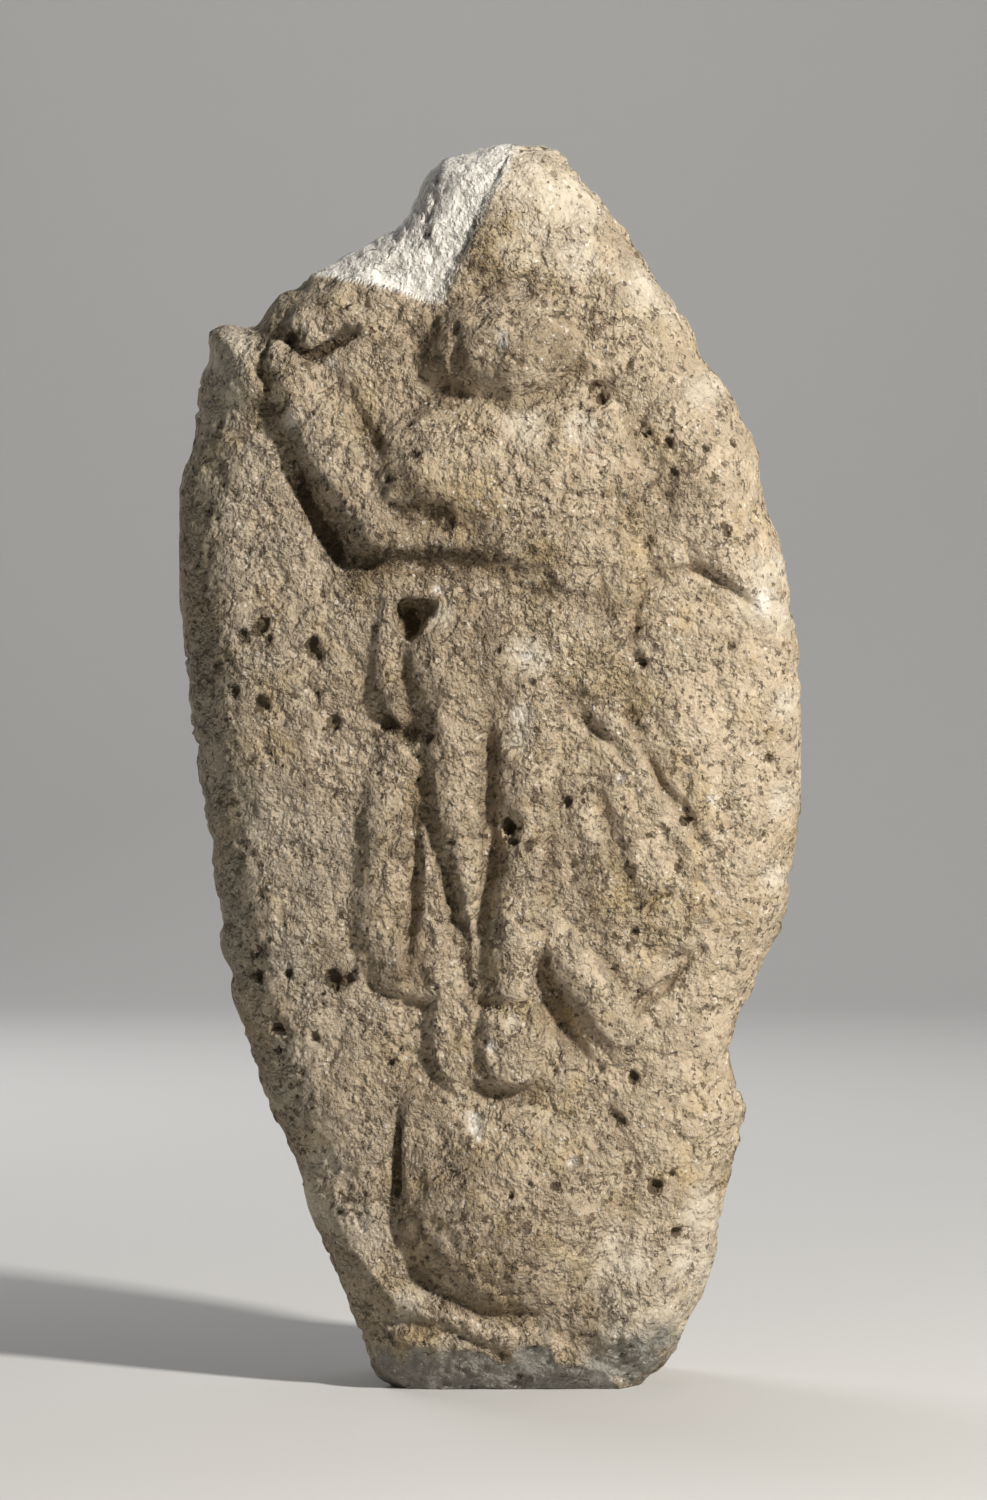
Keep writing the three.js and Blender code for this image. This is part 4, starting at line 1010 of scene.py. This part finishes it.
def stone():
    """Limestone. Scales of its noises and grains are per millimetre."""
    made, g = material("limestone")
    where = g.vector("SCALE", g.node("ShaderNodeTexCoord").outputs["Object"], 1 / MM)
    mottle = g.noise(where, 0.12, 6, 0.7)
    crumb = g.noise(where, 0.19, 4, 0.7)
    broken = g.strayed(where, 0.5, 1.5)
    grain, chunk = g.grains(broken, 0.7), g.grains(broken, 0.33)
    hollow, rough, pale_and_lit, fresh = map(g.mark, ("hollow", "rough", "pale_and_lit", "fresh"))
    foot_break, patina, standing, painted_shade = map(g.mark, ("foot_break", "patina", "standing", "painted_shade"))
    broken_face = g.larger(fresh, foot_break)

    # pits too small for the mesh, of ragged shape, thicker where the stone is rough
    ragged = g.strayed(where, 0.55, 3.2)
    crowd = g.plus(g.range(g.noise(where, 0.055, 4), 0.38, 0.62, 0.15, 1), g.times(rough, 0.4))
    crowd = g.math("SUBTRACT", crowd, g.times(pale_and_lit, 0.45), True)
    large = g.times(g.pits(ragged, 0.13, 0.3), crowd)
    small = g.range(g.minus(g.noise(ragged, 0.25, 2), g.times(crowd, 0.12)), 0.31, 0.275)
    tiny = g.range(g.minus(grain, g.times(crowd, 0.2)), 0.13, 0.09)
    dots = g.times(g.pits(ragged, 0.19, 0.26), g.range(g.noise(where, 0.04, 3), 0.4, 0.6, 0.3, 1))
    pit = g.larger(g.larger(large, small), g.larger(dots, g.times(tiny, 0.38)))
    pit = g.times(pit, g.minus(1, g.times(broken_face, 0.7)))
    # hair cracks
    wander = g.math("ABSOLUTE", g.minus(g.noise(where, 0.045, 3, 0.5), 0.5))
    crack = g.times(g.range(wander, 0.008, 0.002), g.range(g.noise(where, 0.03, 2), 0.58, 0.66))

    # layers of colour, each laid over the ones before it
    streaks = g.noise(g.vector("MULTIPLY", where, (1, 1, 0.5)), 0.22, 4, 0.7)
    speck = g.plus(g.times(grain, 0.6), g.times(chunk, 0.4))
    edge = g.plus(hollow, g.times(g.minus(g.noise(where, 0.38, 3, 0.7), 0.5), 1.6))
    # pits and hollows painted dark: dirt and painted shade
    dirt_and_shade = g.larger(g.times(pit, 0.72), g.range(edge, 0.28, 0.52, 0, 0.85))
    layers = [
        (g.range(g.noise(where, 0.018, 4), 0.5, 0.7, 0, 0.3), DARK_STONE),
        (g.range(g.noise(where, 0.035, 4), 0.5, 0.7, 0, 0.5), OCHRE_STONE),
        (g.times(patina, g.range(g.noise(where, 0.03, 5), 0.35, 0.6, 0.2, 0.8)), GREY_STONE),
        # pale rubbed stone, partly painted light
        (g.times(pale_and_lit, g.range(mottle, 0.35, 0.55, 0.5, 1)), PALE_STONE),
        (g.times(g.range(rough, 0.5, 1, 0, 0.42), g.range(mottle, 0.35, 0.6, 1, 0.3)), OCHRE_STONE),
        # hollows are painted darker, dirt together with painted shade, and crests are rubbed clean
        (g.times(g.range(standing, -0.3, -3.2, 0, 0.6), g.range(mottle, 0.3, 0.6, 0.6, 1)), DARK_STONE),
        (g.times(g.range(standing, 0.4, 3, 0, 0.2), g.range(mottle, 0.35, 0.6, 0.4, 1)), PALE_STONE),
        # painted shade in the listed places
        (g.times(painted_shade, g.range(mottle, 0.35, 0.6, 0.8, 0.55)), DARK_STONE),
        # the broken faces: white at the top, and at the foot grey painted dark as shade
        (fresh, g.mix(g.range(streaks, 0.48, 0.36), FRESH_STONE, FRESH_GREY)),
        (foot_break, g.mix(g.range(g.noise(where, 0.05, 4), 0.4, 0.6), SHADED_FOOT_GREY, SHADED_FOOT_STONE)),
        # specks from grain to grain, and dirt with painted shade in pits, cracks and hollows
        (g.range(speck, 0.6, 0.85, 0, 0.25), PALE_STONE),
        (g.range(grain, 0.86, 0.9, 0, 0.4), FRESH_STONE),
        (g.range(speck, 0.4, 0.2, 0, 0.1), DARK_STONE),
        (g.larger(dirt_and_shade, g.times(crack, 0.7)), PORE_DIRT_AND_SHADE),
    ]
    colour = g.mix(g.range(mottle, 0.38, 0.62), MID_STONE, LIGHT_STONE)
    for share, over in layers:
        colour = g.mix(share, colour, over)

    # the grain is coarse in some places and rubbed smooth in others
    coarse = g.plus(g.range(g.noise(where, 0.075, 3), 0.36, 0.64, 0.6, 1.7), g.times(rough, 0.6))
    calm = g.larger(g.larger(g.times(pale_and_lit, 0.6), g.times(broken_face, 0.7)), g.mark("calm"))
    coarse = g.times(coarse, g.minus(1, calm))
    flake = g.times(g.range(g.noise(where, 0.1, 4), 0.47, 0.53), g.times(rough, FLAKE_HEIGHT))
    height = g.plus(g.times(grain, GRAIN_HEIGHT), g.times(chunk, CHUNK_HEIGHT))
    height = g.plus(height, g.plus(flake, g.times(crumb, CRUMB_HEIGHT)))
    height = g.minus(g.times(height, coarse), g.times(pit, PIT_DEPTH))
    bump = g.node("ShaderNodeBump")
    bump.inputs["Strength"].default_value = 1
    bump.inputs["Distance"].default_value = MM
    g.link(height, bump.inputs["Height"])
    shader = g.surface(STONE_ROUGHNESS)
    shader.inputs["Specular IOR Level"].default_value = STONE_SHINE
    g.link(colour, shader.inputs["Base Color"])
    g.link(bump.outputs[0], shader.inputs["Normal"])
    return made


def floor_paint():
    made, g = material("pale_floor")
    g.surface(FLOOR_ROUGHNESS).inputs["Base Color"].default_value = FLOOR_COLOUR
    return made


def add_object(name, data):
    made = bpy.data.objects.new(name, data)
    bpy.context.scene.collection.objects.link(made)
    return made


def add_mesh(name, mesh, surface):
    mesh.materials.append(surface)
    mesh.polygons.foreach_set("use_smooth", [True] * len(mesh.polygons))
    return add_object(name, mesh)


# The solid's box in the forms' own place: low and high, each x and y
PLAN_BOX = ((-156.1, -80.2), (156.6, 68))


def build_stone():
    """The stone, set on its solid's place and kept inside its box."""
    points, faces, marks = weathered_slab()
    low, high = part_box(NODE)
    solid_middle = [(low[k] + high[k]) / 2 for k in (0, 1)]
    plan_low, plan_high = PLAN_BOX
    shift = [solid_middle[k] - MM * (plan_low[k] + plan_high[k]) / 2 for k in (0, 1)] + [0]
    places = np.clip(points * MM + shift, low, high)
    mesh = bpy.data.meshes.new("carved_stone")
    mesh.from_pydata(places.tolist(), [], faces)
    for name, values in marks.items():
        mesh.attributes.new(name, "FLOAT", "POINT").data.foreach_set("value", values.astype(np.float32))
    carved = add_mesh("carved_stone", mesh, stone())
    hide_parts(NODE)
    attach(carved, "root")


# Camera at the photograph's height and side, far enough back for its flat perspective
CAMERA_DISTANCE = 2.45
FRAME_HEIGHT = 0.75
SENSOR = 36
RIM_Y = -0.026
CAMERA_X = 0.0018
CAMERA_Z = 0.319
CLIP_END = 50


def build_camera():
    data = bpy.data.cameras.new("camera")
    data.sensor_width = SENSOR
    data.lens = SENSOR * CAMERA_DISTANCE / FRAME_HEIGHT
    data.clip_end = CLIP_END
    camera = add_object("camera", data)
    camera.location = (CAMERA_X, RIM_Y - CAMERA_DISTANCE, CAMERA_Z)
    camera.rotation_euler = (math.radians(90), 0, 0)
    bpy.context.scene.camera = camera


# Soft studio light: name, place, aim, size, power, colour
WARM_WHITE = (1.0, 0.97, 0.92)
COOL_WHITE = (0.97, 0.98, 1.0)
STONE_MIDDLE = (0, 0, 0.31)
LIGHTS = [
    ("key", (1.68, -1.58, 1.51), STONE_MIDDLE, 0.22, 99, WARM_WHITE),
    ("back", (-1.8, 2.4, 1.9), STONE_MIDDLE, 1.4, 34, COOL_WHITE),
    ("backdrop", (0, 1.6, 3.4), (0, 5, 0.8), 2, 60, COOL_WHITE),
]
WORLD_COLOUR = (0.95, 0.96, 1.0, 1)
WORLD_STRENGTH = 0.07


def build_lights():
    for name, place, aim, size, power, colour in LIGHTS:
        data = bpy.data.lights.new(name, "AREA")
        data.size = size
        data.energy = power
        data.color = colour
        light = add_object(name, data)
        light.location = place
        light.rotation_euler = (Vector(place) - Vector(aim)).to_track_quat("Z", "Y").to_euler()
    world = bpy.data.worlds.new("studio")
    world.use_nodes = True
    background = world.node_tree.nodes["Background"].inputs
    background["Color"].default_value = WORLD_COLOUR
    background["Strength"].default_value = WORLD_STRENGTH
    bpy.context.scene.world = world
    bpy.context.scene.view_settings.view_transform = "Standard"


# Pale floor that sweeps up behind the stone
FLOOR_HALF_WIDTH = 7
FLOOR_FRONT = -6
FLOOR_BACK = 3.6
SWEEP = 1.8
SWEEP_STEPS = 16
WALL_TOP = 6


def build_floor():
    arc = [math.pi / 2 * k / SWEEP_STEPS for k in range(SWEEP_STEPS + 1)]
    profile = [(FLOOR_FRONT, 0)]
    profile += [(FLOOR_BACK + SWEEP * math.sin(a), SWEEP * (1 - math.cos(a))) for a in arc]
    profile += [(FLOOR_BACK + SWEEP, WALL_TOP)]
    points = [(side * FLOOR_HALF_WIDTH, y, z) for y, z in profile for side in (-1, 1)]
    faces = [(2 * k, 2 * k + 1, 2 * k + 3, 2 * k + 2) for k in range(len(profile) - 1)]
    mesh = bpy.data.meshes.new("floor")
    mesh.from_pydata(points, [], faces)
    add_mesh("floor", mesh, floor_paint())


build_camera()
build_stone()
build_floor()
build_lights()

bpy.context.view_layer.update()
